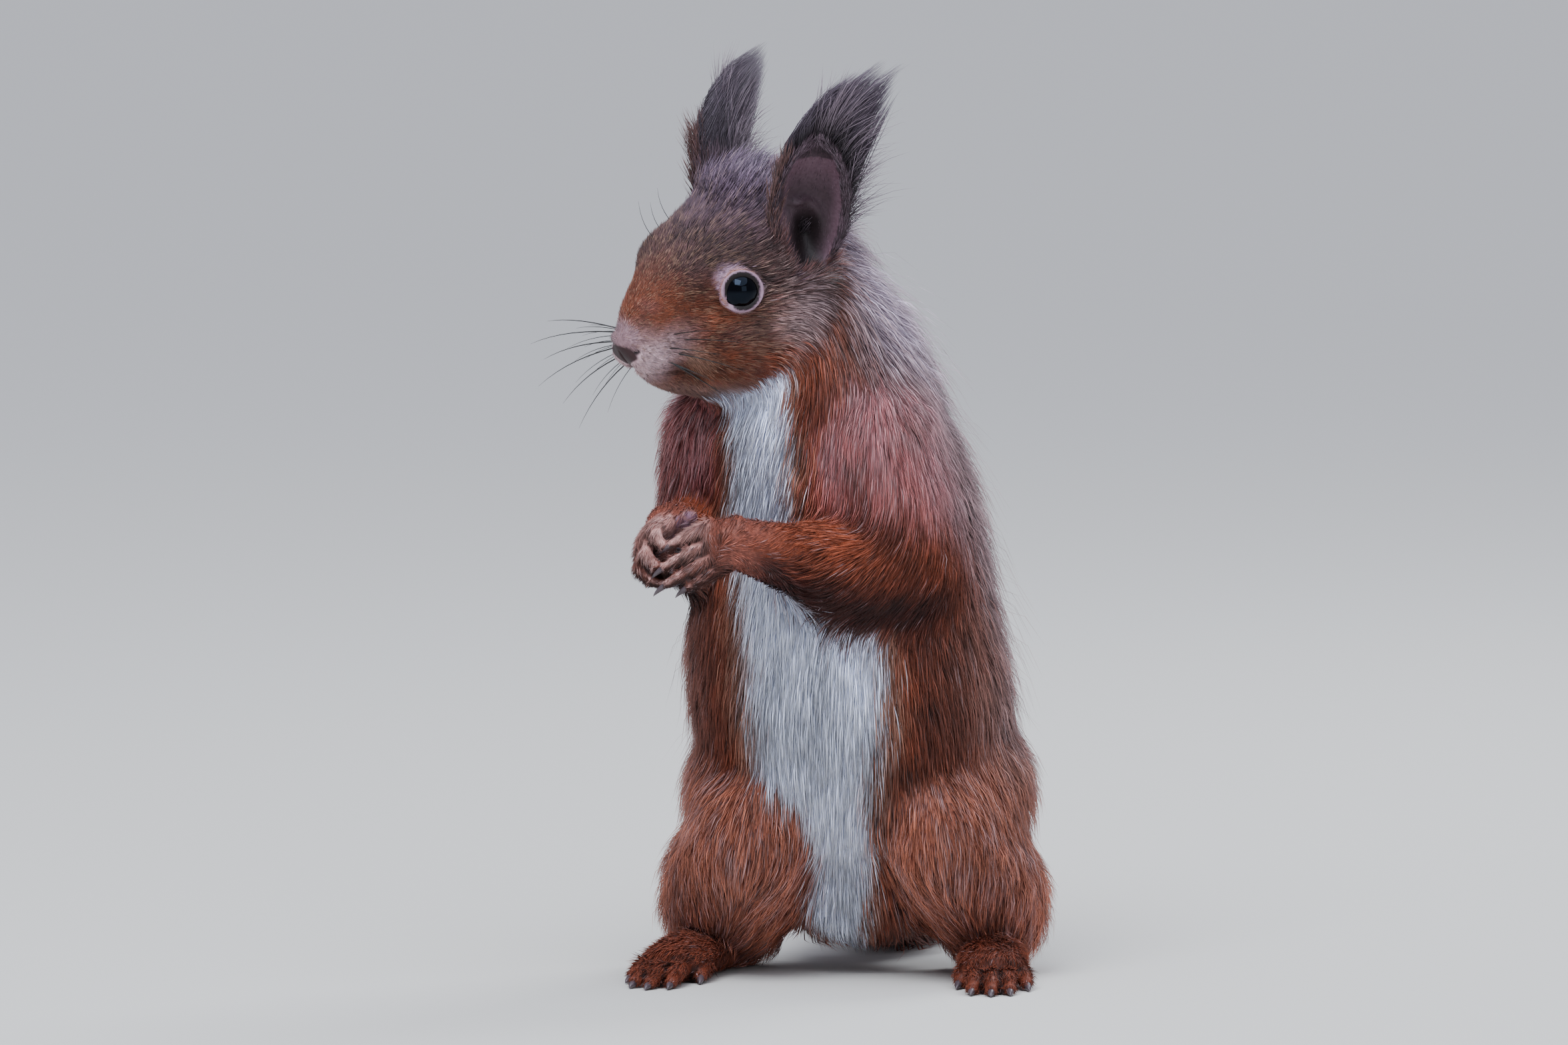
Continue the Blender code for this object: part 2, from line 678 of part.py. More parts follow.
PART_TRIANGLES = {  # about how many triangles each part keeps
    "head": 860,
    "neck": 340,
    "chest": 810,
    "belly": 820,
    "upper_arm": 270,
    "forearm": 330,
    "hand": 600,
    "thigh": 330,
    "shank": 420,
    "foot": 580,
    "ear": 330,
    "eye": 120,
    "tail_base": 330,
    "tail_middle": 230,
    "tail_tip": 300,
    "whisker": 40,
}
COATS = {  # of the kinds that aren't red
    "eye": "eye_gloss",
    "ear": "dark_coat",
    "whisker": "dark_coat",
    "tail": "dark_coat",
    "head": "grey_brown_coat",
    "neck": "grey_brown_coat",
    "chest": "grey_brown_coat",
    "belly": "white_coat",
}


def kind_of(name):
    for side in SIDES:
        name = name.split("_" + side)[0]
    return name


def stand_on_origin(pieces):
    """Metres instead of millimetres, and the origin on the floor under the middle of the animal's box."""
    corners = np.vstack([[vert.co for vert in piece.data.vertices] for piece in pieces])
    low, high = corners.min(0), corners.max(0)
    middle = Vector(((low[0] + high[0]) / 2, (low[1] + high[1]) / 2, low[2]))
    for piece in pieces:
        piece.data.transform(Matrix.Scale(MM, 4) @ Matrix.Translation(-middle))


def build():
    clear_scene()
    body = blended_body()
    eyes = [eye(side) for side in SIDES]
    cut_clear(body, *eyes)
    hands = [hand(side) for side in SIDES]
    feet = [floor_flat(foot(side)) for side in SIDES]
    ears = [ear(side) for side in SIDES]
    floor_flat(body)
    for piece in hands + feet + ears:
        cut_clear(piece, body)
    cut_clear(hands[1], hands[0])
    whiskers = [whisker(side, row, body) for side in SIDES for row in range(len(WHISKERS))]
    pieces = eyes + hands + feet + ears + whiskers + tail_pieces(body) + parted(body)
    for piece in pieces:
        kind = kind_of(piece.name)
        thinned(piece, PART_TRIANGLES[kind])
        piece.data.name = piece.name
        piece.data.materials.clear()
        piece.data.materials.append(coat_material(COATS.get(kind.split("_")[0], "red_coat")))
    stand_on_origin(pieces)


build()
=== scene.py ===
"""The looks of a red squirrel, life size, as a still museum model.

Sizes are in millimetres from the middle of the hips on the floor, as in the part's source, and placed()
turns them to metres in the row frame. +Z is up, the hips face -Y, and the animal's left is +X.
"""

from math import cos, radians, sin

import bmesh
import bpy
import numpy as np
from mathutils import Matrix, Vector
from mathutils.bvhtree import BVHTree
from mathutils.kdtree import KDTree


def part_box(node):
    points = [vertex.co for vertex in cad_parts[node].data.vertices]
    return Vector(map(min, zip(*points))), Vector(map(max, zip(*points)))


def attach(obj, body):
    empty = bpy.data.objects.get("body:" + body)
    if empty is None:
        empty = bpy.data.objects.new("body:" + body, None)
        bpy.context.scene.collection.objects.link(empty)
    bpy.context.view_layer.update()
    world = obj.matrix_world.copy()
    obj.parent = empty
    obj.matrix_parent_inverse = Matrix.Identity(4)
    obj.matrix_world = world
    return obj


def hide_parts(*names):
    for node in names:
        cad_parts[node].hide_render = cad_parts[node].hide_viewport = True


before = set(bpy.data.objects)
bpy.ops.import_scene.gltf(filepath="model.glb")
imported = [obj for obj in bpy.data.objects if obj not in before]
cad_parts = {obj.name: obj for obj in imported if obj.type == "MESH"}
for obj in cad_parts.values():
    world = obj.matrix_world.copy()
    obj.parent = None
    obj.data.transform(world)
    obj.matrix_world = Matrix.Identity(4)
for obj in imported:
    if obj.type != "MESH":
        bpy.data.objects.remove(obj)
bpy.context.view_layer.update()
bpy.ops.object.select_all(action="DESELECT")

# ---- Camera ----
# A long lens, a little to the animal's left and a little above it. The head's own frame is worked out first,
# from the left eye in the CAD frame, because the rest of the animal's numbers start from there.

MM = 0.001
EYE_PLACE = Vector((12.2, 23.0, 7.8))  # in the head, from the nose tip: left, back, up
NOSE_TIP = Vector((-42.6, -33.0, 134.2))
HEAD_LIE = (
    Matrix.Rotation(radians(-45), 4, "Z")  # turned to its right
    @ Matrix.Rotation(radians(8), 4, "Y")  # tilted
    @ Matrix.Rotation(radians(12), 4, "X")  # nose up
)
eye_low, eye_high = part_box("eye_left")
hips = (eye_low + eye_high) / 2 / MM - HEAD_LIE @ EYE_PLACE - NOSE_TIP  # the source's zero, in the row frame

VIEW_TURN, VIEW_RISE = radians(10), radians(5)
VIEW_WIDTH = 326.8  # millimetres across the frame, at the animal
VIEW_CENTRE = (-13.4, 94.2)  # across and up, from the hips
LENS, SENSOR = 400.0, 36.0

towards_camera = Vector((sin(VIEW_TURN) * cos(VIEW_RISE), -cos(VIEW_TURN) * cos(VIEW_RISE), sin(VIEW_RISE)))
across_view = Vector((cos(VIEW_TURN), sin(VIEW_TURN), 0))
up_view = towards_camera.cross(across_view)
looks_at = (hips + across_view * VIEW_CENTRE[0] + up_view * VIEW_CENTRE[1]) * MM
camera_place = looks_at + towards_camera * VIEW_WIDTH * MM * LENS / SENSOR
bpy.ops.object.camera_add(location=camera_place, rotation=towards_camera.to_track_quat("Z", "Y").to_euler())
camera = bpy.context.object
camera.data.lens = LENS
camera.data.sensor_width = SENSOR
camera.data.clip_end = 50  # metres
bpy.context.scene.camera = camera

# ---- The body under the coat ----
# Trunk, head, arms and legs as one bare body of skin over flesh: the CAD's solids joined, their parting gaps
# closed, smoothed, and drawn in by the depth of the coat that grows on each of them.

SIDES = {"left": 1, "right": -1}
HEAD_AXES = np.array(HEAD_LIE.to_3x3())
COAT_DEPTH = {"head": 1.3, "neck": 2.8, "chest": 2.3, "belly": 2.4, "upper_arm": 2.1, "forearm": 1.7}
COAT_DEPTH |= {"thigh": 2.6, "shank": 2.1, "hand": 0.5, "foot": 0.6, "ear": 0.8, "tail": 5.0, "eye": 0.6}
MUZZLE_LENGTH = 24  # the coat is thinner up to here behind the nose tip
GAP_CLOSING = 0.25  # how far each solid swells, to close the gaps between them


def placed(points):
    return (np.asarray(points) + np.array(hips)) * MM


def gathered(items, field, width, form):
    rows = np.empty(len(items) * width, form)
    items.foreach_get(field, rows)
    return rows.reshape(-1, width)


def measured(obj, kind="vertices"):
    """The mesh's corners in millimetres, or their normals, as rows of numbers."""
    if kind == "normals":
        return gathered(obj.data.vertex_normals, "vector", 3, np.float32).astype(float)
    return gathered(obj.data.vertices, "co", 3, np.float32).astype(float) / MM - np.array(hips)


def linked(name, data):
    made = bpy.data.objects.new(name, data)
    bpy.context.scene.collection.objects.link(made)
    return made


def mesh_from(bm, name):
    mesh = bpy.data.meshes.new(name)
    bm.to_mesh(mesh)
    bm.free()
    return mesh


def set_points(obj, points):
    obj.data.vertices.foreach_set("co", placed(points).astype(np.float32).ravel())
    obj.data.update()


def edges_of(obj):
    return gathered(obj.data.edges, "vertices", 2, np.int32)


def relaxed(values, edges, times):
    """Values on a mesh's corners, each drawn half way to its neighbours' mean, times over."""
    shape = values.shape
    values = values.reshape(len(values), -1)
    start, end = edges.T
    links = np.maximum(np.bincount(edges.ravel(), minlength=len(values)), 1)[:, None]
    for _ in range(times):
        sums = [np.bincount(start, c[end], len(c)) + np.bincount(end, c[start], len(c)) for c in values.T]
        values = values + (np.stack(sums, 1) / links - values) * 0.5
    return values.reshape(shape)


def in_head(points):
    """The points' places in the head: left, back and up from the nose tip."""
    return (points - np.array(NOSE_TIP)) @ HEAD_AXES


def kind_of(node):
    """The form that a CAD node is, whichever its side: the tail's three lengths are one kind."""
    for side in SIDES:
        node = node.removesuffix("_" + side)
    return node.split("_")[0] if node.startswith("tail") else node


def worked(obj, operator, **settings):
    """Runs an operator on one piece alone."""
    bpy.context.view_layer.objects.active = obj
    obj.select_set(True)
    operator(**settings)
    obj.select_set(False)


def apply_modifiers(obj):
    for modifier in list(obj.modifiers):
        worked(obj, bpy.ops.object.modifier_apply, modifier=modifier.name)


def one_skin(obj, voxel, passes):
    """Melts the pieces of a mesh into one closed skin, and smooths it."""
    remesh = obj.modifiers.new("skin", "REMESH")
    remesh.mode = "VOXEL"
    remesh.voxel_size = voxel * MM
    soften = obj.modifiers.new("soften", "SMOOTH")
    soften.iterations = passes
    apply_modifiers(obj)


flesh = {name: node for name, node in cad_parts.items() if not name.startswith("whisker")}
flesh_corners, flesh_faces, node_of_face = [], [], []
for name, node in flesh.items():
    first = len(flesh_corners)
    flesh_corners += [v.co for v in node.data.vertices]
    flesh_faces += [[v + first for v in face.vertices] for face in node.data.polygons]
    node_of_face += [name] * len(node.data.polygons)
solids = BVHTree.FromPolygons(flesh_corners, flesh_faces)


def nearest_kinds(points):
    """The kind of CAD solid that each point lies nearest to."""
    return np.array([kind_of(node_of_face[solids.find_nearest(Vector(p))[2]]) for p in placed(points)])


bm = bmesh.new()
for name, node in flesh.items():
    if kind_of(name) in ("hand", "foot", "ear", "tail"):
        continue
    part = bmesh.new()
    part.from_mesh(node.data)
    bmesh.ops.remove_doubles(part, verts=part.verts, dist=1e-6)
    part.normal_update()
    for vert in part.verts:
        vert.co += vert.normal * GAP_CLOSING * MM
    mesh = mesh_from(part, name)
    bm.from_mesh(mesh)
    bpy.data.meshes.remove(mesh)
skin = linked("skin", mesh_from(bm, "skin"))
one_skin(skin, voxel=1.2, passes=10)

points = measured(skin)
behind = in_head(points)[:, 1]
depth = np.array([COAT_DEPTH[kind] for kind in nearest_kinds(points)])
on_muzzle = np.minimum(depth, 0.35 + 0.04 * np.maximum(behind, 0))
depth = relaxed(np.where(behind < MUZZLE_LENGTH, on_muzzle, depth), edges_of(skin), 12)
set_points(skin, points - measured(skin, "normals") * depth[:, None])

# ---- Hands, feet, ears and tail ----
# Bare paws with separate digits, thin cupped leaves of gristle for ears, and the body of the tail. Each
# overlaps the body a little, and at the end one skin is made of them all.

CHEST_TURN = radians(-28)
UP = Vector((0, 0, 1))
FORWARD = Vector((sin(CHEST_TURN), -cos(CHEST_TURN), 0))
LEFTWARD = Vector((cos(CHEST_TURN), sin(CHEST_TURN), 0))
CHEST_AXIS = Vector((-3.5, 0, 0))


def by_chest(forward, left, height):
    return CHEST_AXIS + FORWARD * forward + LEFTWARD * left + UP * height


ARMS = {  # shoulder, elbow, wrist, fingertips
    "left": [by_chest(*p) for p in ((7, 18.5, 116), (6, 25.5, 86), (43, 6.5, 94), (54, -5.5, 85))],
    "right": [by_chest(*p) for p in ((11, -20.5, 114), (10, -25.5, 90), (39.5, -12.5, 95.5), (49, -12, 91))],
}
HAND_LIE = {  # where the back faces, the fingers' bend, the palm's length, the fingers' share of theirs
    "left": (FORWARD * 0.35 + LEFTWARD * 0.75 + UP * 0.55, 4, 7.4, 0.93),
    "right": (FORWARD * 0.6 - LEFTWARD * 0.75 + UP * 0.45, 35, 11.0, 0.95),
}
FINGERS = (  # place across the palm from the thumb's side, spread in degrees, bone lengths
    (4.7, 5, (4.0, 3.1, 2.1)),
    (1.6, 2, (5.1, 4.1, 2.5)),
    (-1.6, 1, (5.9, 4.6, 2.7)),
    (-4.7, 3, (4.6, 3.7, 2.3)),
)
TOES = (  # place across the sole from the inner side, spread, bone lengths, distance behind the middle toe
    (-4.9, -13, (3.8, 3.0, 2.2), 9.0),
    (-3.1, -5, (5.4, 4.4, 2.6), 1.2),
    (-0.2, 0, (5.8, 4.7, 2.8), 0.0),
    (2.8, 4, (5.5, 4.5, 2.7), 1.2),
    (5.2, 12, (4.2, 3.3, 2.3), 6.5),
)
FINGER_RADIUS, FINGER_CLAW = 1.58, 4.8
TOE_RADIUS, TOE_CLAW = 2.0, 4.6
TOE_BENDS = (6, 16, 12)
HEEL, FOOT_TURN, FOOT_LENGTH = Vector((28.5, 13.0, 5.0)), radians(9), 37.0
TAIL = (  # x, y, z, half width and half depth of the brush
    (1.0, 26.0, 21.0, 9.0, 9.0),
    (1.5, 46.0, 13.0, 13.5, 11.0),
    (0.0, 72.0, 11.5, 19.0, 12.5),
    (-4.0, 104.0, 12.0, 22.5, 13.5),
    (-10.0, 138.0, 11.5, 22.0, 13.0),
    (-17.0, 170.0, 9.5, 16.5, 10.5),
    (-22.0, 192.0, 7.0, 8.5, 6.5),
)
bare_parts = [skin]
claw_lines = []  # each claw's points and radii


def on_side(place, outward):
    """A place on the animal's left side, or its mirror image on the right."""
    return Vector((place.x * outward, place.y, place.z))


def tube(name, stations, sides=4):
    """A round limb through stations (x, y, z, radius), with closed ends, bevelled from a smooth curve."""
    curve = bpy.data.curves.new(name, "CURVE")
    curve.dimensions = "3D"
    spline = curve.splines.new("POLY")
    spline.points.add(len(stations) - 1)
    for point, (*place, radius) in zip(spline.points, stations):
        point.co = (*placed(place), 1)
        point.radius = radius
    curve.bevel_depth = MM
    curve.bevel_resolution = sides
    curve.use_fill_caps = True
    made = linked(name, curve)
    worked(made, bpy.ops.object.convert, target="MESH")
    return made


def joined(name, pieces):
    for piece in pieces:
        piece.select_set(True)
    bpy.context.view_layer.objects.active = pieces[0]
    if len(pieces) > 1:
        bpy.ops.object.join()
    pieces[0].select_set(False)
    pieces[0].name = name
    return pieces[0]


def rounded(name, stations, rings=14, side=None, sides=16):
    """A closed body through stations (x, y, z, half width, half depth), its half width towards side."""
    rows = np.array(stations, float)
    at = np.linspace(0, len(rows) - 1, rings)
    i = np.minimum(at.astype(int), len(rows) - 2)
    t = (at - i)[:, None]
    padded = np.vstack([2 * rows[0] - rows[1], rows, 2 * rows[-1] - rows[-2]])
    a, b, c, d = (padded[i + k] for k in range(4))  # a smooth curve through all the stations
    squared, cubed = a - 2.5 * b + 2 * c - 0.5 * d, 1.5 * (b - c) + 0.5 * (d - a)
    rows = b + 0.5 * t * (c - a) + t**2 * squared + t**3 * cubed
    bm = bmesh.new()
    loops = []
    for k, row in enumerate(rows):
        along = Vector(rows[min(k + 1, rings - 1)][:3] - rows[max(k - 1, 0)][:3]).normalized()
        wide = (side - side.project(along)).normalized()
        deep = along.cross(wide)
        round_end = 0.55 if k in (0, rings - 1) else 1
        verts = []
        for turn in np.linspace(0, 2 * np.pi, sides, endpoint=False):
            offset = wide * cos(turn) * row[3] + deep * sin(turn) * row[4]
            verts.append(bm.verts.new(placed(Vector(row[:3]) + offset * round_end)))
        loops.append(verts)
    for lower, upper in zip(loops, loops[1:]):
        for k in range(sides):
            bm.faces.new((lower[k], lower[k - 1], upper[k - 1], upper[k]))
    bm.faces.new(loops[0])
    bm.faces.new(loops[-1][::-1])
    bmesh.ops.recalc_face_normals(bm, faces=bm.faces)
    return linked(name, mesh_from(bm, name))


def digit(root, along, palm_side, bones, radius, bends, claw):
    """A finger or toe of three bones, each turned further towards the palm, and its claw's line."""
    along = along.normalized()
    palm_side = (palm_side - palm_side.project(along)).normalized()
    axis = along.cross(palm_side)
    at = Vector(root)
    stations = [(*(at - along), radius * 0.9), (*at, radius)]
    for k, (bone, bend) in enumerate(zip(bones, bends)):
        along = Matrix.Rotation(radians(bend), 3, axis) @ along
        thick = radius * (1 - 0.09 * (k + 1))
        stations.append((*(at + along * bone * 0.5), thick * 0.9))
        at = at + along * bone
        stations.append((*at, thick * 1.02))
    stations.append((*(at + along * 0.9), radius * 0.42))
    bare_parts.append(tube("digit", stations))
    line = []
    at = at + along * radius * 0.1 - palm_side * radius * 0.15
    for thick in (0.25, 0.38, 0.35, 0.29, 0.21, 0.12, 0.03):
        line.append((at.x, at.y, max(at.z, thick * radius + 0.2), thick * radius))
        along = Matrix.Rotation(radians(8), 3, axis) @ along
        at = at + along * claw / 6
    claw_lines.append(line)


hand_ways, foot_ways, pads = {}, {}, []  # the way that each paw points, and each pad's middle and radius
for side, outward in SIDES.items():
    wrist, tips = ARMS[side][2:]
    back, bend, palm_length, long = HAND_LIE[side]
    along = (tips - wrist).normalized()
    back = (back - back.project(along)).normalized()
    thumbward = along.cross(back) * -outward
    thumbward = -thumbward if thumbward.z < 0 else thumbward
    start = wrist - along * 2.8
    knuckles = start + along * palm_length
    hand_ways[side] = along
    palm = [
        (*(start - along * 2.5), 3.6, 3.4),
        (*start, 4.2, 3.5),
        (*start.lerp(knuckles, 0.6), 5.9, 3.3),
        (*knuckles, 6.1, 2.6),
    ]
    bare_parts.append(rounded("palm", palm, side=thumbward))
    for place, spread, bones in FINGERS:
        root = knuckles + thumbward * place - along * (1.2 + 0.07 * place * place) + back * 0.4
        bends = [bend * share for share in (0.6, 1.3, 1.5)]
        bones = [bone * long for bone in bones]
        towards = along + thumbward * sin(radians(spread))
        digit(root, towards, -back, bones, FINGER_RADIUS, bends, FINGER_CLAW)
    folded = side == "left"  # the left thumb lies in its palm, and the right one stands up from it
    thumb = wrist - along * 0.5 + thumbward * (1.5 if folded else 3.9) - back * 3.0
    nub = thumb + (along if folded else thumbward) * 3.6
    bare_parts.append(tube("thumb", [(*thumb, 2.5), (*thumb.lerp(nub, 0.55), 2.0), (*nub, 1.3)]))
    pad = wrist + along - back * 2.2
    bare_parts.append(tube("heel_pad", [(*(pad - along * 2), 2.2), (*pad, 2.9), (*(pad + along * 2), 2.2)]))
    pads += [(thumb, 2.5), (nub, 1.5), (pad - back, 3.0)]
    if not folded:  # the right hand is a fist, closed round its own finger pads
        inner = start + along * 11.5 - back * 5.5
        ends = [(*(inner + thumbward * k), 2.6) for k in (1, -2, -5)]
        bare_parts.append(tube("finger_pads", ends))

    heel = on_side(HEEL, outward)
    along = Vector((sin(FOOT_TURN) * outward, -cos(FOOT_TURN), 0))
    across = Vector((cos(FOOT_TURN) * outward, sin(FOOT_TURN), 0))
    roots = heel + along * FOOT_LENGTH
    foot_ways[side] = along
    sole = [
        (*(heel + UP * 0.4 - along * 5), 4.6, 4.2),
        (*(heel + UP * 0.4), 5.9, 5.2),
        (*heel.lerp(roots, 0.35), 6.3, 4.9),
        (*(heel.lerp(roots, 0.75) - UP * 0.5), 6.9, 4.3),
        (*(roots - UP * 1.6), 6.2, 2.9),
    ]
    bare_parts.append(rounded("sole", sole, side=across))
    for place, spread, bones, setback in TOES:
        root = roots + across * place - along * (2.0 + setback) - UP * 2.0
        towards = along + across * sin(radians(spread)) + UP * 0.16
        digit(root, towards, -UP, bones, TOE_RADIUS, TOE_BENDS, TOE_CLAW)

HEAD = Matrix.Translation(NOSE_TIP) @ HEAD_LIE
EAR_NOTCH, EAR_TIP = Vector((15.0, 38.5, 11.0)), Vector((19.5, 40.5, 36.5))
EAR_OPENING = radians(20)  # how far forward of straight sideways each ear opens
EAR_THICK = 1.3
PINNA = ((0.0, 5.3), (0.2, 7.6), (0.45, 8.3), (0.7, 7.2), (0.88, 4.9), (1.0, 2.0))  # half width along it
ear_frames = {}


def half_width(share):
    """Half the ear's width at a share of its height."""
    return np.interp(share, *zip(*PINNA))


def ear_cup(half, turn):
    """How far the leaf is hollowed at a place across it: turn is -1 at one edge and 1 at the other."""
    return 4.6 * (half / 9.3) * (1 - turn * turn)


for side, outward in SIDES.items():
    notch, tip = on_side(EAR_NOTCH, outward), on_side(EAR_TIP, outward)
    up = (tip - notch).normalized()
    opening = Vector((outward * cos(EAR_OPENING), -sin(EAR_OPENING), 0.1))
    opening = (opening - opening.project(up)).normalized()
    across = up.cross(opening)
    ear_frames[side] = (notch, tip, up, opening, across)
    bpy.ops.mesh.primitive_grid_add(x_subdivisions=20, y_subdivisions=26, size=2)
    pinna = bpy.context.object
    for vert in pinna.data.vertices:
        share, turn = (vert.co.y + 1) / 2, vert.co.x
        half = half_width(share)
        cup = ear_cup(half, turn) - 0.5 * (abs(turn) > 0.93)  # the rim rolls outwards a little
        vert.co = placed(HEAD @ (notch.lerp(tip, share) + across * half * turn - opening * cup))
    wall = pinna.modifiers.new("wall", "SOLIDIFY")
    wall.thickness = EAR_THICK * MM
    wall.offset = 0
    apply_modifiers(pinna)
    pinna.select_set(False)
    bare_parts.append(pinna)

tail_body = [(x, y, z, 0.42 * wide, 0.42 * deep) for x, y, z, wide, deep in TAIL]
tail_body[0] = (1.0, 22.0, 23.0, 7.5, 7.5)
bare_parts.append(rounded("tail_body", tail_body, rings=40, side=Vector((1, 0, 0)), sides=20))

one_skin(joined("skin", bare_parts), voxel=0.6, passes=3)
bpy.ops.object.select_all(action="DESELECT")

# ---- The face ----
# Lids round each eye, nostrils, the split lip and the line of the mouth, and the hollows of the ears. All
# are pressed into the one skin, as a modeller's thumb does in clay.

EYE_RADIUS = 4.6
EYE_CENTRE = {side: on_side(EYE_PLACE, outward) for side, outward in SIDES.items()}
LID_EDGE = 46  # degrees from the eye's axis to the lids' edge
LID_THICK = 0.55


def step(values, low, high):
    """0 below low, 1 above high, and a smooth rise between them. It falls where high is the lower."""
    t = np.clip((values - low) / (high - low), 0, 1)
    return t * t * (3 - 2 * t)


def lengths(rows):
    return np.linalg.norm(rows, axis=1)


def from_head(places):
    return places @ HEAD_AXES.T + np.array(NOSE_TIP)


def close_up(obj, near, centre):
    """Cuts the skin's faces finer round a centre in the head."""
    middle = Vector(placed(HEAD @ centre))
    bm = bmesh.new()
    bm.from_mesh(obj.data)
    inside = [e for e in bm.edges if (e.verts[0].co - middle).length < near * MM]
    bmesh.ops.subdivide_edges(bm, edges=inside, cuts=1, use_grid_fill=True, smooth=0)
    bm.to_mesh(obj.data)
    bm.free()


eye_axes = {}
for side, outward in SIDES.items():
    eye_axes[side] = Vector((outward * 0.90, -0.36, 0.22)).normalized()
    close_up(skin, 9.0, EYE_CENTRE[side])
close_up(skin, 13.0, Vector((0, 5, -4)))

edges = edges_of(skin)
face = in_head(measured(skin))


def press(centre, radius, by):
    """How far the face's surface moves near a centre: most in the middle."""
    away = lengths((face - np.array(centre)) / np.array(radius))
    return step(away, 1, 0)[:, None] * np.array(by)


for side in SIDES:
    centre = np.array(EYE_CENTRE[side])
    ray = face - centre
    far = lengths(ray)
    apart = np.maximum(far, 1e-6)
    spread = np.degrees(np.arccos(np.clip(ray @ np.array(eye_axes[side]) / apart, -1, 1)))
    # the opening is a little wider than tall, with a corner towards the nose
    upward = ray[:, 2] / apart
    forward = -ray[:, 1] / apart
    corner = step(forward, 0.4, 0.85) * step(np.abs(upward + 0.25), 0.35, 0)
    spread = spread * (1 + 0.15 * np.abs(upward)) - 11 * corner
    # how far the skin is from the eye's centre: sunk behind the ball, then the lid, its crease and the brow
    past_edge = [LID_EDGE + angle for angle in (-5, -1, 3, 11, 17, 24, 36)]
    lid = [3.2, 3.4, 4.55] + [EYE_RADIUS + rise for rise in (LID_THICK, 0.95, 0.75, 1.25, 1.4)]
    hold = step(spread, LID_EDGE + 40, LID_EDGE + 12) * (far < 9.5)
    away = far + (np.interp(spread, [0] + past_edge, lid) - far) * hold
    face = centre + ray / apart[:, None] * away[:, None]

NOSTRIL = (3.5, 2.2, -1.9)
MOUTH_MIDDLE, MOUTH_REACH = np.array((0, 8, -8)), 16
MOUTH = ((0.0, 2.6, -6.3), (1.4, 3.6, -6.9), (3.4, 6.4, -7.9), (5.6, 10.2, -8.9), (7.4, 14.0, -9.3))
mouth_line = np.array([np.interp(np.linspace(0, 4, 60), range(5), column) for column in zip(*MOUTH)]).T


def beside(where, line):
    """How far each place is from a line of points, taken on the left side of the head."""
    folded = where * np.sign(where[:, :1] + 1e-9) * (1, 0, 0) + where * (0, 1, 1)
    return np.min([lengths(folded - point) for point in line], axis=0)


def from_mouth():
    """How far each corner of the face is from the line of the mouth."""
    near = lengths(face - MOUTH_MIDDLE) < MOUTH_REACH
    groove = np.full(len(face), 9.0)
    groove[near] = beside(face[near], mouth_line)
    return groove


x, y, z = NOSTRIL
NOSE_PRESSES = (  # place and size on the left, and how far the skin moves
    ((x - 0.3, y - 0.5, z + 1.9), (2.4, 2.6, 1.5), (0.5, -0.55, 0.1)),  # the wing of the nostril, out over
    ((x + 0.4, y + 0.4, z - 0.1), (1.5, 1.6, 1.1), (-1.7, 1.4, 0.3)),  # the hole
    ((x + 1.3, y + 1.9, z + 0.5), (1.3, 1.7, 0.7), (-0.9, 0.2, 0.1)),  # which runs on back and up
    ((3.6, 5.2, -4.6), (3.2, 4.0, 3.2), (0.55, -0.45, -0.1)),  # the full upper lip
)
for side, outward in SIDES.items():
    mirror = np.array((outward, 1, 1))
    for place, size, by in NOSE_PRESSES:
        face = face + press(place * mirror, size, by * mirror)
    # the ear's canal, deep at the foot of the leaf's hollow, and the fold that crosses the hollow above it
    notch, _, up, opening, across = ear_frames[side]
    inwards = -np.array(opening)
    face = face + press(notch + up * 5.5 + opening * 1.0, (5.0, 5.0, 9.5), inwards * 5.2)
    fold = notch + up * 12.5 - opening * 2.0 - across * outward * 2.5
    face = face + press(fold, (3.2, 3.6, 1.6), inwards * -1.3)
lips = face[(lengths(face - MOUTH_MIDDLE) < MOUTH_REACH) & (face[:, 0] >= 0)]
mouth_line = np.array([lips[lengths(lips - point).argmin()] for point in mouth_line])
inward = np.sign(face[:, :1]) * (-0.55, 0, 0) + (0, 0.35, 0.5)
face = face + step(from_mouth(), 1.1, 0.0)[:, None] * inward * 1.2
face = face + press((0, 0.2, -3.9), (0.6, 2.6, 2.6), (0, 1.1, 0))  # the split under the nose
points = from_head(face)
points[:, 2] = np.maximum(points[:, 2], 0.25)  # nothing reaches into the floor
set_points(skin, points)

# ---- Sparing faces ----
# The trunk lies under a deep coat, so its skin keeps fewer faces than the face, the ears and the paws do,
# where the skin itself is seen between thin hairs.

SKIN_TRIANGLES = 150_000
kinds = nearest_kinds(points)
fine = np.isin(kinds, ("hand", "foot", "ear", "eye")) * 0.6
fine = np.maximum(fine, step(face[:, 1], 34, 14) * (kinds == "head"))
fine = relaxed(fine, edges, 4)
group = skin.vertex_groups.new(name="fine")
for level in range(1, 9):
    chosen = np.flatnonzero(np.round(fine * 8) == level)
    if len(chosen):
        group.add(chosen.tolist(), level / 8, "REPLACE")
thin = skin.modifiers.new("thin", "DECIMATE")
thin.ratio = min(1.0, SKIN_TRIANGLES / sum(len(p.vertices) - 2 for p in skin.data.polygons))
thin.vertex_group = "fine"
thin.invert_vertex_group = True
thin.vertex_group_factor = 4
apply_modifiers(skin)
skin.vertex_groups.clear()
skin.data.shade_smooth()

# ---- Markings ----
# Worked out once on the skin's corners, and shared by skin and coat: for each hair, a colour at its root and
# one at its tip, and the length, lift and lie of the hair that grows there.

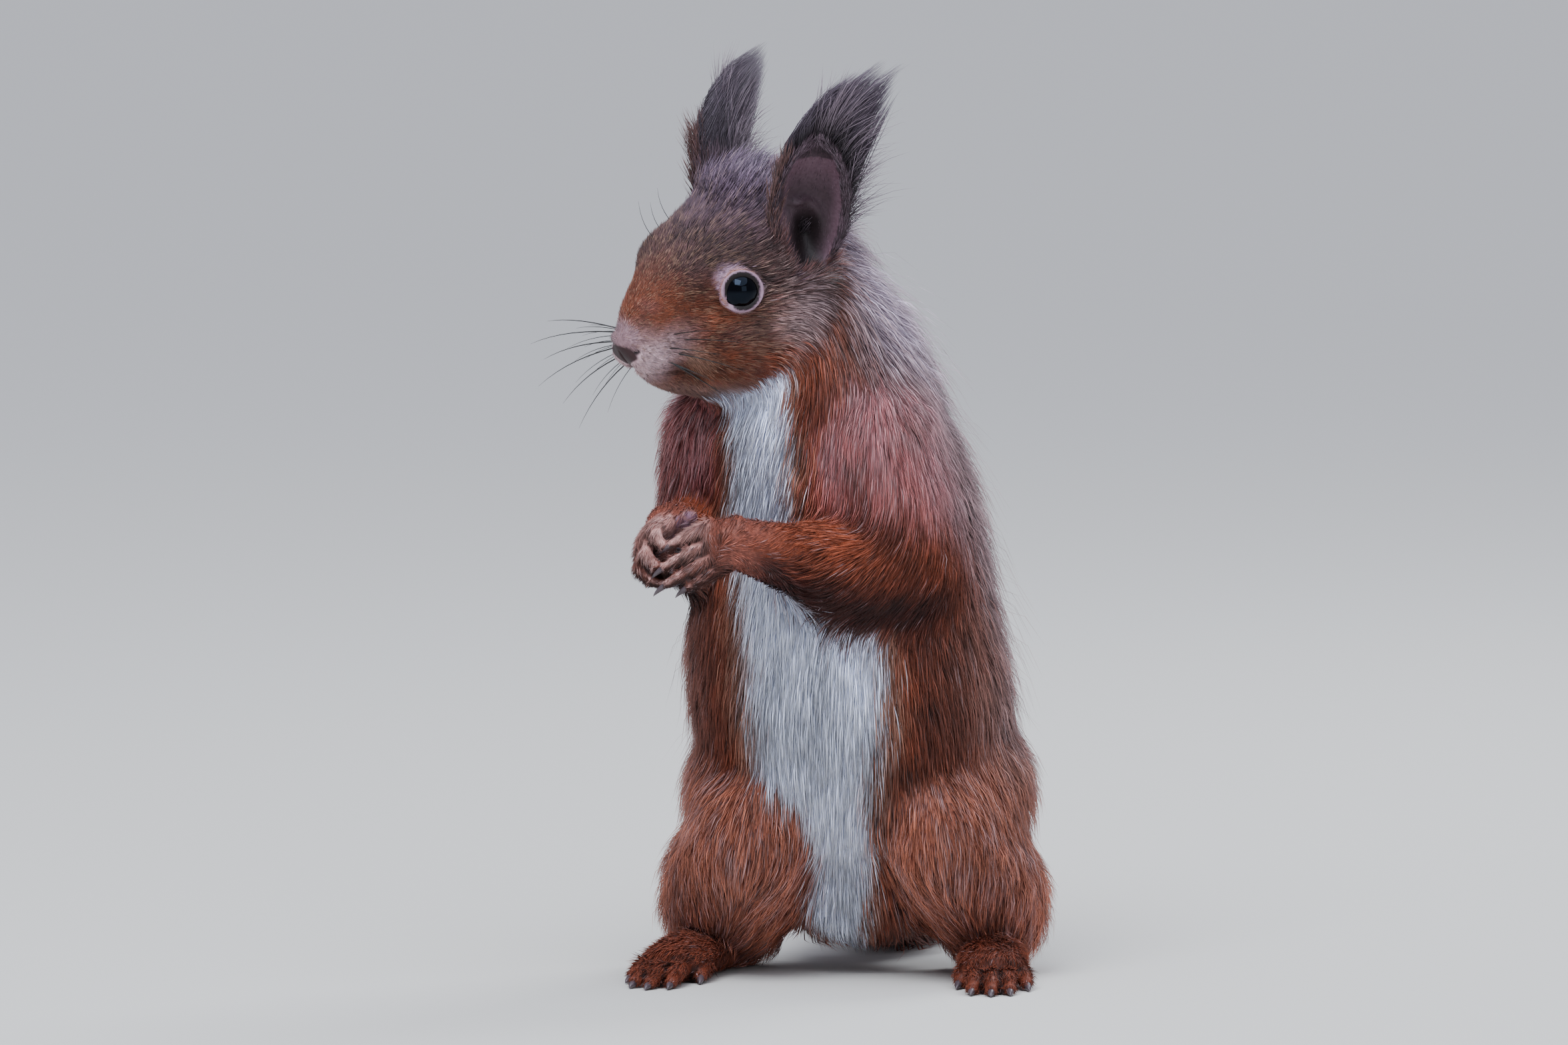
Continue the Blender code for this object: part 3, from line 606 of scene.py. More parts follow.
COLOURS = {  # root and tip, as sRGB hex
    "rust": ("38110a", "ad583a"),
    # the feet's own dark umber, and painted shade on the arms' undersides and on the chest's sides under
    # them
    "umber": ("150504", "45170d"),
    "shade": ("0c0403", "30120b"),
    "grey": ("46302e", "c3abb4"),
    "agouti": ("38201b", "a07c74"),
    # very pale lilac: the grey coat with painted sheen of light from behind and above
    "nape": ("a292ac", "f4eaff"),
    # painted sheen of light from above, pink over the upper arms
    "bright": ("54201a", "d48468"),
    "rose": ("4e201f", "dc9098"),
    "buff": ("6c4a3a", "b89480"),
    "white": ("d6def8", "eef2ff"),
    "brown": ("180c0d", "5c3f3c"),
    "slate": ("21171f", "78667f"),
    "cheek": ("3a2624", "ba9c9e"),
    "ginger": ("260c07", "8c4a30"),
    "cream": ("987276", "e6cad0"),
    # partly the jaw's own pinkish brown, partly painted shade under the head
    "chin": ("45281f", "a47e74"),
    "lid": ("907080", "b496aa"),
    "crease": ("8a5a48", "b27e62"),
    "rim": ("120a0a", "1c1212"),
    "nose": ("6a4c50", "a98a90"),
    "rhinarium": ("2a1718", "3c2426"),
    # near-black painted shade in the nostrils and along the mouth
    "nostril": ("080404", "0c0606"),
    "ear": ("170d10", "4e3b44"),
    "concha": ("4a303a", "705662"),
    # near-black painted shade in the lower hollow of each ear
    "canal": ("0c0506", "1c0e12"),
    "hand": ("34130d", "a8604e"),
    # painted highlight on the upper parts of the hands and on their ridges that face up
    "pale": ("b87a72", "ffd2ca"),
    "pad": ("7c5868", "8e6a7a"),
    "tail": ("240f0a", "7e4230"),
}
# pale hair tips: partly real frosted hairs, partly painted sheen of light from above
FROST_AND_SHEEN = {"body": "dcbcc0", "face": "d6aa8a"}  # the pale tips of scattered hairs
TRUNK_AXIS = ((27, 1, 9), (56, 1, 4), (96, -1, 0), (124, -4.8, -3), (150, -11, -6))  # height, x, y
MIDLINE = ((0, 90, 130), (1, -1, -6))  # heights, and x of the line between left and right
BIB = (  # the white front: height, the way it faces in degrees, half its width in degrees
    (4, -10, 15),
    (22, -9, 19),
    (56, -7, 27),
    (76, -6, 28),
    (90, -16, 22),
    (100, -32, 18),
    (113, -29, 19),
    (126, -38, 24),
)


def linear(hex_colour):
    """An sRGB hex colour as linear red, green and blue."""
    srgb = np.array([int(hex_colour[i : i + 2], 16) for i in (0, 2, 4)]) / 255
    return np.where(srgb <= 0.04045, srgb / 12.92, ((srgb + 0.055) / 1.055) ** 2.4)


def unit(rows):
    return rows / np.maximum(np.linalg.norm(rows, axis=1, keepdims=True), 1e-9)


rng = np.random.default_rng(7)
points, edges, normals = measured(skin), edges_of(skin), measured(skin, "normals")
kinds = nearest_kinds(points)
face, face_normals = in_head(points), normals @ HEAD_AXES

# what is within a leaf's thickness of an ear is ear, and its hollow side is bare inside the rim
hollow, canal = np.zeros(len(points), bool), np.zeros(len(points))
for side, (notch, tip, up, opening, across) in ear_frames.items():
    from_notch = face - np.array(notch)
    share = from_notch @ np.array(up) / (tip - notch).length
    over, out = from_notch @ np.array(across), from_notch @ np.array(opening)
    half = half_width(share)
    before = out + ear_cup(half, np.clip(over / half, -1, 1))  # how far before the leaf's own hollow face
    facing_out = face_normals @ np.array(opening) > np.where(share < 0.5, -0.35, 0.0)
    on_ear = (share > 0.0) & (share < 1.2) & (np.abs(over) < half + 1.2) & (np.abs(before) < 1.7)
    in_bowl = (share > -0.12) & (share < 0.5) & (np.abs(over) < 0.75 * half) & (before > -7) & (before < 4.5)
    on_ear |= in_bowl & facing_out
    kinds[on_ear] = "ear"
    inside = on_ear & facing_out & (np.abs(over) < 0.80 * half) & (share < 0.86)
    hollow |= inside
    # painted shade: near-black over the lower bowl of each ear's hollow, most in the slit of its canal
    slit = step(share, 0.46, 0.26) * step(np.abs(over) / half, 0.6, 0.25)
    bowl = step(share, 0.88, 0.5) * step(np.abs(over) / half, 0.85, 0.5)
    canal = np.maximum(canal, inside * (0.7 * bowl + 0.3 * slit))

ring = np.full(len(points), 180.0)  # degrees from the nearer eye's axis, round that eye
upper = np.zeros(len(points))  # above 0 over the eye and in front of it, below 0 under it and behind it
for side in SIDES:
    ray = face - np.array(EYE_CENTRE[side])
    far = np.maximum(lengths(ray), 1e-6)
    angle = np.degrees(np.arccos(np.clip(ray @ np.array(eye_axes[side]) / far, -1, 1)))
    ring = np.where(far < 9.5, angle, ring)
    upper = np.where(far < 9.5, (ray[:, 2] - 0.7 * ray[:, 1]) / far, upper)

# slow waves over the body, for edges, the hair's way and its tone
wobble, swirl, patchy = (relaxed(rng.normal(size=len(points)), edges, times) for times in (60, 50, 14))
wobble, swirl, patchy = wobble / wobble.std(), swirl / swirl.std(), patchy / patchy.std()
# the tone, turn and lift that the hairs of one small lock share
locks = relaxed(rng.normal(size=(len(points), 3)), edges, 1)
locks = np.clip(locks / locks.std(axis=0) * 0.6, -1, 1)

# above 0 in the gaps between fingers and toes, below 0 along their ridges
sunk = ((relaxed(points, edges, 6) - points) * normals).sum(1)

x, y, z = points.T
beyond, behind, above = np.abs(face[:, 0]), face[:, 1], face[:, 2]
heights, axis_x, axis_y = zip(*TRUNK_AXIS)
bearing = np.degrees(np.arctan2(x - np.interp(z, heights, axis_x), np.interp(z, heights, axis_y) - y))
heights, facing, half = zip(*BIB)
turn = np.abs((bearing - np.interp(z, heights, facing) + 180) % 360 - 180)
bib_edge = np.interp(z, heights, half) + 2.0 * wobble
on_bib = step(turn, bib_edge + 5, bib_edge - 4)
left = x > np.interp(z, *MIDLINE)


def is_kind(*names, blur=6):
    return relaxed(np.isin(kinds, names).astype(float), edges, blur)


def spot(centre, radius):
    """1 in the middle of a soft-edged patch on both sides of the head, and 0 outside it."""
    away = (np.stack([beyond, behind, above], 1) - np.array(centre)) / np.array(radius)
    return step(lengths(away), 1.15, 0.25)


wrist_near = np.min([lengths(points - np.array(ARMS[side][2])) for side in SIDES], axis=0)
pad = np.min([lengths(points - np.array(at)) / wide for at, wide in pads], axis=0)
claw_near = np.min([lengths(points - np.array(line[0][:3])) for line in claw_lines], axis=0)
paw = is_kind("hand", blur=4)
cuff = step(wrist_near + 1.2 * wobble, 14, 6) * is_kind("forearm", blur=3)
trunk, neck, head = is_kind("belly", "chest", "neck"), is_kind("neck", blur=14), is_kind("head", "eye")
arm, leg = is_kind("upper_arm", "forearm"), is_kind("thigh", "shank")
# shares of the way to the edge of the nostrils, the nose's dry top and its dark wet pad
holes = [((NOSTRIL[0] + 0.1) * outward, NOSTRIL[1] + 0.6, NOSTRIL[2]) for outward in SIDES.values()]
nostril = np.min([lengths((face - hole) / (1.7, 1.9, 1.1)) for hole in holes], axis=0)
nose_top = lengths((face - (0, 1.2, 0.4)) / (4.9, 4.2, 3.4))
nose_pad = lengths((face - (0, 0.9, -3.2)) / (4.9, 3.2, 2.7)) + step(beyond, 0.5, 4) * step(above, -3, -6)
groove = from_mouth()
layers = [  # each is laid over those before it, by its share
    ("bright", leg * 0.75),
    # painted sheen of light from above: pink over the rust of the upper arm, strongest towards the shoulder
    ("rose", is_kind("upper_arm", blur=12) * step(z, 80, 116) * (0.62 + 0.15 * patchy)),
    # darker sides of the chest under the arms: partly their own dark rust, partly painted shade
    ("umber", trunk * step(turn, 30, 44) * step(turn, 84, 56) * step(z, 92, 76) * 0.6),
    ("agouti", np.clip(trunk + leg, 0, 1) * step(turn, 38, 88) * step(z, 6, 70) * (0.7 + 0.2 * patchy)),
    ("grey", trunk * step(turn, 68, 112) * step(z, 8, 100) * 0.68),
    # the upper back and nape very pale lilac: the grey coat, with painted sheen of light from behind and
    # above
    ("nape", trunk * step(turn, 66, 112) * step(z, 104, 150) * 0.85),
    ("agouti", trunk * step(turn, 104, 158) * 0.6),
    ("grey", arm * step(turn, 70, 108) * 0.75),
    ("grey", leg * step(turn, 80, 130) * step(z, 22, 62) * 0.55),
    # painted shade on the arms' undersides, darkest where they face down
    ("umber", arm * step(normals[:, 2], 0.6, -0.45) * step(z, 108, 94)),
    ("buff", trunk * step(turn, bib_edge + 12, bib_edge + 3) * 0.6),
    ("white", is_kind("belly", "chest", "neck", blur=3) * on_bib),
    ("ginger", head),
    ("brown", head * step(above + 0.5 * (behind - 20), 2 + 1.4 * wobble, 12 + 1.4 * wobble)),
    ("slate", head * step(above + 0.25 * behind, 19, 39) * 0.9),
    ("brown", head * spot((14, 31, 8), (8, 9, 7)) * 0.8),
    ("cheek", head * spot((15.5, 33, -1), (9, 9, 6.5)) * 0.9),
    ("brown", head * spot((13.0, 21.0, -0.5), (5, 8, 3.6)) * 0.8),
    ("ginger", head * spot((11.0, 19.0, -6.0), (6, 7, 3.5)) * 0.7),
    ("rust", head * spot((13, 34, -11), (15, 17, 9))),
    ("slate", head * spot((2.0, 7.5, 6.2), (4.0, 4.0, 3.0)) * 0.45),
    ("cream", head * step(behind - 0.45 * above, 15.5, 7) * step(above + 0.5 * wobble, 5.5, -4.5)),
    ("buff", head * spot((9.5, 13.5, -5.0), (4.5, 5.0, 3.8)) * 0.55),
    # the underside of the jaw darker pinkish brown: partly its own colour, partly painted shade under the
    # head
    ("chin", head * step(above + 0.12 * behind, -7.5, -11) * 0.9),
    ("white", head * step(above, -12.5, -15.5) * step(behind, 16, 24)),
    ("cream", step(ring, LID_EDGE + 30, LID_EDGE + 16) * step(upper, 0.1, -0.5) * 0.5),
    ("lid", step(ring, LID_EDGE + 18 + 6 * upper, LID_EDGE + 12 + 5 * upper)),
    ("crease", np.exp(-(((ring - LID_EDGE - 11) / 2.6) ** 2)) * step(upper, -0.1, 0.6) * 0.9),
    ("rim", step(ring, LID_EDGE + 4.5, LID_EDGE + 1.5)),
    ("nose", head * step(nose_top, 1.1, 0.8)),
    ("rhinarium", head * step(nose_pad, 1.06, 0.86)),
    # painted shade: near-black in the nostrils' holes and along the line of the mouth
    ("nostril", head * step(nostril, 1.0, 0.6)),
    ("nostril", head * step(groove, 1.0, 0.4) * step(behind, 16, 12) * 0.9),
    ("ear", is_kind("ear", blur=3)),
    ("concha", hollow.astype(float)),
    ("canal", canal),
    ("hand", np.maximum(paw, cuff) * 0.9),
    # the hands: painted highlight high on them and on their ridges that face up, painted shade low on them,
    # underneath and in the gaps between fingers and toes
    ("pale", paw * step(z, 86, 97) * 0.5),
    ("shade", paw * step(z, 94, 80) * 0.8),
    ("pale", paw * step(sunk, -0.08, -0.2) * step(normals[:, 2], -0.4, 0.5) * 0.8),
    ("shade", paw * step(normals[:, 2], 0.25, -0.45) * 0.8),
    ("umber", is_kind("foot", blur=5) * 0.35),
    ("shade", is_kind("hand", "foot", blur=2) * step(sunk, -0.05, 0.06) * 0.9),
    ("pad", is_kind("hand", blur=1) * step(pad, 1.3, 1.0)),
    ("tail", is_kind("tail", blur=8)),
]
root_colour, tip_colour = (np.tile(linear(colour), (len(points), 1)) for colour in COLOURS["rust"])
for name, share in layers:
    share = np.clip(share, 0, 1)[:, None]
    root_colour += (linear(COLOURS[name][0]) - root_colour) * share
    tip_colour += (linear(COLOURS[name][1]) - tip_colour) * share
parting = 1 - 0.7 * trunk * on_bib  # how far the locks differ: least on the white front
# how many of the hairs end pale: most on the back and cheeks, fewest on the legs. They are partly real pale
# tips and partly painted sheen of light from above, which rises towards the tops of the arms.
crown = head * step(above + 0.2 * behind, 27, 33) * step(beyond, 12, 7)
frost_and_sheen = 0.1 + 0.4 * trunk * step(turn, 40, 110) + 0.5 * arm * step(z, 90, 118) + 0.2 * neck + 0.3 * leg
frost_and_sheen = frost_and_sheen + head * (0.22 + 0.25 * spot((15, 33, 0), (12, 14, 12))) + 0.1 * paw
frost_and_sheen = np.clip(frost_and_sheen, 0, 0.7) * (1 - is_kind("ear", "tail", blur=2) * 0.8)
frost_and_sheen_strength = 0.4 + 0.2 * paw
# the pale tips are golden on the forehead, and pink-grey elsewhere
warm = (head * step(behind, 36, 22) * step(above, 34, 16))[:, None]
frost_and_sheen_colour = linear(FROST_AND_SHEEN["body"]) * (1 - warm) + linear(FROST_AND_SHEEN["face"]) * warm

# the lie of the coat: away from the nose on the head, down the trunk and limbs, along paws, ears and tail
LIES = {  # on the left side, for the forms where it is one way all over
    "chest": (0, 0.05, -1),
    "neck": (0.05, 0.25, -1),
    "upper_arm": (0, 0.12, -1),
    "thigh": (0.22, -0.22, -1),
    "shank": (0.22, -0.22, -1),
    "tail": (0, 1, 0),
}
lie = np.zeros((len(points), 3))
for kind in sorted(set(kinds)):
    for side, outward in SIDES.items():
        half = (kinds == kind) & (left == (outward > 0))
        elbow, wrist = ARMS[side][1:3]
        if kind in LIES:
            lie[half] = np.array(LIES[kind]) * (outward, 1, 1)
        elif kind in ("head", "eye"):
            local = face[half] - np.array((0, -14, 3))
            local[:, 2] += step(above[half], 18, 28) * step(behind[half], 25, 34) * 60
            lie[half] = local @ HEAD_AXES.T
        elif kind == "forearm":
            along = np.array((wrist - elbow).normalized())
            share = np.clip((points[half] - np.array(elbow)) @ along / (wrist - elbow).length, 0, 1)
            down = (0.75 - 0.55 * share) * step(normals[half, 2], 0.75, 0.2)
            lie[half] = along * (0.4 + 0.6 * share)[:, None] + np.array((0, 0, -1)) * down[:, None]
        elif kind == "hand":
            lie[half] = np.array(hand_ways[side])
        elif kind == "foot":
            lie[half] = np.array(foot_ways[side]) + np.array((0, 0, -0.15))
        elif kind == "ear":
            lie[half] = np.array(HEAD_LIE.to_3x3() @ ear_frames[side][2])
        elif kind == "belly":
            low = step(z[half], 45, 15)[:, None] * (y[half] > 10)[:, None]
            lie[half] = np.array((0, 0.05, -1)) + low * np.array((0, 0.9, 0.2))
lie = unit(lie)
for _ in range(4):
    lie = relaxed(lie, edges, 8)
    lie = unit(lie - normals * (lie * normals).sum(1, keepdims=True))

HAIR = {  # length, lift in degrees, width, tufts on a square millimetre
    "head": (2.8, 19, 0.22, 9.0),
    "eye": (1.0, 10, 0.12, 10.0),
    "neck": (7.0, 19, 0.23, 5.0),
    "chest": (6.8, 16, 0.23, 4.0),
    "belly": (7.4, 16, 0.24, 3.8),
    "upper_arm": (6.0, 16, 0.22, 4.5),
    "forearm": (4.6, 14, 0.21, 5.0),
    "thigh": (7.2, 17, 0.24, 3.8),
    "shank": (6.0, 17, 0.23, 3.8),
    "hand": (2.6, 8, 0.2, 11.0),
    "foot": (3.8, 13, 0.22, 8.0),
    "ear": (2.8, 12, 0.16, 8.0),
    "tail": (17.0, 29, 0.33, 3.6),
}
hair = relaxed(np.array([HAIR[kind] for kind in kinds]), edges, 8)
on_paws = is_kind("hand", "foot", "ear", "tail", blur=2)[:, None]
hair = hair * on_paws + relaxed(hair, edges, 30) * (1 - on_paws)
# hair is shortest on the muzzle and round the eyes, longest on the crown, and short at the tips of fingers
# and toes, and there is none on the nose, the lids' edge, the lips and the pads of the hands
on_head = np.isin(kinds, ("head", "eye"))
muzzle = step(behind, 24, 6) * on_head
hair[:, 0] *= (1 - 0.58 * muzzle) * (1 - 0.6 * step(ring, LID_EDGE + 34, LID_EDGE + 16) * on_head)
hair[:, 0] += 1.6 * crown + 1.2 * head * step(behind, 30, 40)
hair[:, 2] *= 1 - 0.25 * muzzle
bare = np.maximum(step(nose_pad, 1.1, 0.95), step(nose_top, 0.75, 0.6) * 0.6)
bare = np.maximum(bare, step(ring, LID_EDGE + 14, LID_EDGE + 8))
bare = np.maximum(bare, np.maximum(step(groove, 0.9, 0.5), step(nostril, 1.1, 0.8)))
hair[:, 3] *= 1 - bare * on_head
hair[:, 0] *= 1 - 0.45 * step(wrist_near, 22, 9) * is_kind("forearm")
hair[:, 1] *= 1 - 0.45 * step(wrist_near, 26, 9) * is_kind("forearm")
hair[:, 3] *= step(pad, 1.0, 1.3) + (kinds != "hand") * step(pad, 1.3, 1.0)
hair[:, 0] *= 1 - 0.6 * step(claw_near, 6, 1.5)
hair[hollow, 3] *= 0.12
hair[hollow, 0] *= 0.6

# ---- Skin material ----
# Living skin with flat down, matt, and pink-grey where it is bare. It carries the coat's colours, so that it
# reads as the depth between hairs, with flecks of down 0.6 mm across: coarser than life, so that they show.

DOWN_SCALE = 1600  # flecks of down in a metre
DOWN_RISE = 0.0002  # metres


def add_node(tree, kind, settings=None, links=None):
    """A node with its settings, and links from other nodes' outputs to its inputs."""
    node = tree.nodes.new(kind)
    for name, value in (settings or {}).items():
        if isinstance(name, str) and hasattr(node, name):
            setattr(node, name, value)
        else:
            node.inputs[name].default_value = value
    for name, output in (links or {}).items():
        tree.links.new(output, node.inputs[name])
    return node


def set_attribute(obj, name, values):
    form = "FLOAT" if np.ndim(values) == 1 else "FLOAT_COLOR"
    attribute = obj.data.attributes.new(name, form, "POINT")
    if form == "FLOAT":
        attribute.data.foreach_set("value", np.asarray(values, np.float32))
    else:
        rows = np.ones((len(values), 4), np.float32)
        rows[:, :3] = values
        attribute.data.foreach_set("color", rows.ravel())


def object_noise(tree, scale, detail):
    """A pattern of flecks that keeps its place on the piece."""
    coordinates = add_node(tree, "ShaderNodeTexCoord")
    settings = {"Scale": scale, "Detail": detail}
    return add_node(tree, "ShaderNodeTexNoise", settings, {"Vector": coordinates.outputs["Object"]})


def finish_material(name, roughness, specular, sheen=0.0):
    material = bpy.data.materials.new(name)
    material.use_nodes = True
    tree = material.node_tree
    shader = tree.nodes["Principled BSDF"]
    shader.inputs["Roughness"].default_value = roughness
    shader.inputs["Specular IOR Level"].default_value = specular
    shader.inputs["Sheen Weight"].default_value = sheen
    return material, tree, shader


def cover(piece, finish):
    piece.data.materials.clear()
    piece.data.materials.append(finish)


def coat_colours(tree, amount):
    """The markings' root and tip colours, mixed by an amount."""
    roots = add_node(tree, "ShaderNodeAttribute", {"attribute_name": "coat_root"})
    tips = add_node(tree, "ShaderNodeAttribute", {"attribute_name": "coat_tip"})
    links = {0: amount, 6: roots.outputs["Color"], 7: tips.outputs["Color"]}
    return add_node(tree, "ShaderNodeMix", {"data_type": "RGBA"}, links).outputs[2]


skin_finish, tree, shader = finish_material("skin_under_coat", 0.6, 0.3)
down = object_noise(tree, DOWN_SCALE, 3).outputs["Fac"]
limits = {"From Min": 0.3, "From Max": 0.7, "To Min": 0.2, "To Max": 0.6}
amount = add_node(tree, "ShaderNodeMapRange", limits, {"Value": down})
tree.links.new(coat_colours(tree, amount.outputs["Result"]), shader.inputs["Base Color"])
bump = add_node(tree, "ShaderNodeBump", {"Strength": 0.3, "Distance": DOWN_RISE}, {"Height": down})
tree.links.new(bump.outputs["Normal"], shader.inputs["Normal"])
set_attribute(skin, "coat_root", root_colour)
set_attribute(skin, "coat_tip", tip_colour)
cover(skin, skin_finish)
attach(skin, "root")
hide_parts(*[name for name in flesh if not name.startswith("eye")])

# ---- The coat ----
# Smooth thin hair that lies along the skin, in pieces from nose to tail, with a whole coat's soft shine. It
# is laid in tufts as wide as several hairs, so that they show: a short one is a straight three-sided spike,
# and a long one bends half way, to follow the body.

coat_finish, tree, shader = finish_material("hair", 0.5, 0.4, 0.05)
shader.inputs["Sheen Roughness"].default_value = 0.4
along = add_node(tree, "ShaderNodeAttribute", {"attribute_name": "along"})
limits = {"From Min": 0.0, "From Max": 0.8}
rise = add_node(tree, "ShaderNodeMapRange", limits, {"Value": along.outputs["Fac"]})
tree.links.new(coat_colours(tree, rise.outputs["Result"]), shader.inputs["Base Color"])

triangles = gathered(skin.data.loop_triangles, "vertices", 3, np.int32)
corner = points[triangles]
face_area = lengths(np.cross(corner[:, 1] - corner[:, 0], corner[:, 2] - corner[:, 0])) / 2
face_kind = kinds[triangles[:, 0]]
corner_finder = KDTree(len(points))
for i, point in enumerate(points):
    corner_finder.insert(point, i)
corner_finder.balance()


def nearest_corner(rows):
    return np.array([corner_finder.find(row)[1] for row in rows])


def sown(chosen, density, most):
    """Roots scattered over the chosen faces: the skin's corners round each, and its share of each corner."""
    weight = face_area * chosen * density[triangles].mean(1)
    total = int(min(weight.sum(), most))
    picked = rng.choice(len(weight), size=total, p=weight / weight.sum())
    share = rng.random((total, 2))
    over = share.sum(1) > 1
    share[over] = 1 - share[over]
    return triangles[picked], np.column_stack([1 - share.sum(1), share])


def between(values, corners, share):
    rows = values[corners]
    return (rows * (share[..., None] if rows.ndim == 3 else share)).sum(1)


UNWRAP_FACES = 3000  # a coarse copy of the skin is enough to spread the tufts on a map


def unwrapped(chosen_kinds):
    """An unwrap of the part of the skin that a piece of coat grows on: its corners' places on the map."""
    copy = linked("unwrap", skin.data.copy())
    bm = bmesh.new()
    bm.from_mesh(copy.data)
    bm.faces.ensure_lookup_table()
    away = [f for f in bm.faces if kinds[f.verts[0].index] not in chosen_kinds]
    bmesh.ops.delete(bm, geom=away, context="FACES")
    bm.to_mesh(copy.data)
    bm.free()
    thin = copy.modifiers.new("thin", "DECIMATE")
    thin.ratio = min(1.0, UNWRAP_FACES / max(len(copy.data.polygons), 1))
    apply_modifiers(copy)
    bpy.context.view_layer.objects.active = copy
    copy.select_set(True)
    bpy.ops.object.mode_set(mode="EDIT")
    bpy.ops.mesh.select_all(action="SELECT")
    bpy.ops.uv.smart_project(angle_limit=radians(66), island_margin=0.01)
    bpy.ops.object.mode_set(mode="OBJECT")
    copy.select_set(False)
    mesh = copy.data
    mesh.calc_loop_triangles()
    corners = measured(copy)
    faces = np.array([t.vertices[:] for t in mesh.loop_triangles])
    uv = mesh.uv_layers.active.data
    face_uv = np.array([[uv[k].uv[:] for k in t.loops] for t in mesh.loop_triangles])
    finder = BVHTree.FromPolygons([Vector(c) for c in corners], faces.tolist())
    bpy.data.objects.remove(copy, do_unlink=True)
    return corners, faces, face_uv, finder


def on_map(unwrap, places):
    """Where each place lies on the unwrap."""
    corners, faces, face_uv, finder = unwrap
    hits = [finder.find_nearest(Vector(p)) for p in places]
    index = np.array([h[2] for h in hits])
    at = np.array([h[0][:] for h in hits])
    a, b, c = (corners[faces[index, k]] for k in range(3))
    u, v, w = b - a, c - a, at - a
    uu, uv, vv, wu, wv = ((p * q).sum(1) for p, q in ((u, u), (u, v), (v, v), (w, u), (w, v)))
    scale = np.maximum(uu * vv - uv * uv, 1e-12)
    s, t = (vv * wu - uv * wv) / scale, (uu * wv - uv * wu) / scale
    s, t = np.clip(s, 0, 1)[:, None], np.clip(t, 0, 1)[:, None]
    return face_uv[index, 0] * (1 - s - t) + face_uv[index, 1] * s + face_uv[index, 2] * t


PATCH = 0.003  # how far across a tuft's patch is, on the map
RING = np.array(((-1.0, -0.25), (1.0, -0.25), (0.0, 0.6)))  # a tuft's section: across, and out from the skin


def tuft_mesh(name, lines, widths, side, ridge, colours, places):
    """A joined mesh of closed three-sided spikes.

    lines holds each tuft's points from root to tip, widths the half width at each, side the way that it is
    widest, ridge the way that its ridge faces, and places where its root is on the map."""
    count, levels = lines.shape[:2]
    out_sideways, out_upwards = RING[None, None, :, :1], RING[None, None, :, 1:]
    section = side[:, None, None, :] * out_sideways + ridge[:, None, None, :] * out_upwards
    rings = lines[:, :-1, None, :] + section * widths[:, :-1, None, None]
    verts = np.concatenate([rings.reshape(count, -1, 3), lines[:, -1:, :]], axis=1)
    per = verts.shape[1]
    faces = []
    for k in range(levels - 2):
        for i in range(3):
            j = (i + 1) % 3
            faces.append((3 * k + i, 3 * k + j, 3 * k + 3 + j, 3 * k + 3 + i))
    last = 3 * (levels - 2)
    faces += [(last + i, last + (i + 1) % 3, per - 1) for i in range(3)] + [(2, 1, 0)]
    loops = np.array([v for f in faces for v in f])
    starts = np.cumsum([0] + [len(f) for f in faces[:-1]])
    mesh = bpy.data.meshes.new(name)
    mesh.vertices.add(count * per)
    mesh.loops.add(count * len(loops))
    mesh.polygons.add(count * len(faces))
    tuft = np.arange(count)[:, None]
    mesh.vertices.foreach_set("co", placed(verts.reshape(-1, 3)).astype(np.float32).ravel())
    mesh.loops.foreach_set("vertex_index", (loops + tuft * per).astype(np.int32).ravel())
    mesh.polygons.foreach_set("loop_start", (starts + tuft * len(loops)).astype(np.int32).ravel())
    mesh.update(calc_edges=True)
    mesh.shade_smooth()
    obj = linked(name, mesh)
    level = np.array([k / (levels - 1) for k in range(levels - 1) for _ in range(3)] + [1.0])
    set_attribute(obj, "along", np.tile(level, count))
    for key, rows in colours.items():
        set_attribute(obj, key, np.repeat(rows, per, axis=0))
    spread = np.array([i / 2 - 0.5 for _ in range(levels - 1) for i in (0, 2, 1)] + [0.0])
    patch = places[:, None, :] + np.column_stack([spread, level - 0.5])[None] * PATCH
    layer = mesh.uv_layers.new(name="OFBake")
    layer.data.foreach_set("uv", patch[:, loops].astype(np.float32).ravel())
    return obj


def hair_colours(root, length, corners, share, lock):
    """Colours of a place near each root, a little darker or lighter, and some with pale tips, partly painted
    sheen.
    """
    count = len(root)
    step_aside = rng.normal(size=(count, 3)) * (0.16 * length)[:, None]
    near = nearest_corner(root + step_aside)
    tone = 1 + 0.7 * (rng.random(count) - 0.5) + 0.38 * lock[:, 0] + 0.08 * between(wobble, corners, share)
    tone = (tone * (1 + 0.12 * between(patchy, corners, share)))[:, None]
    tips = tip_colour[near] * tone
    odds = 0.5 * rng.random(count) + 0.25 * (1 + lock[:, 1])
    pale = (odds < between(frost_and_sheen, corners, share)) * between(frost_and_sheen_strength, corners, share)
    pale = (pale * rng.uniform(0.5, 1.5, count))[:, None]
    return {"coat_root": root_colour[near] * tone, "coat_tip": tips + (frost_and_sheen_colour[near] - tips) * pale}


ROOT_DEPTH = 0.15
FLOOR_GAP = 0.3


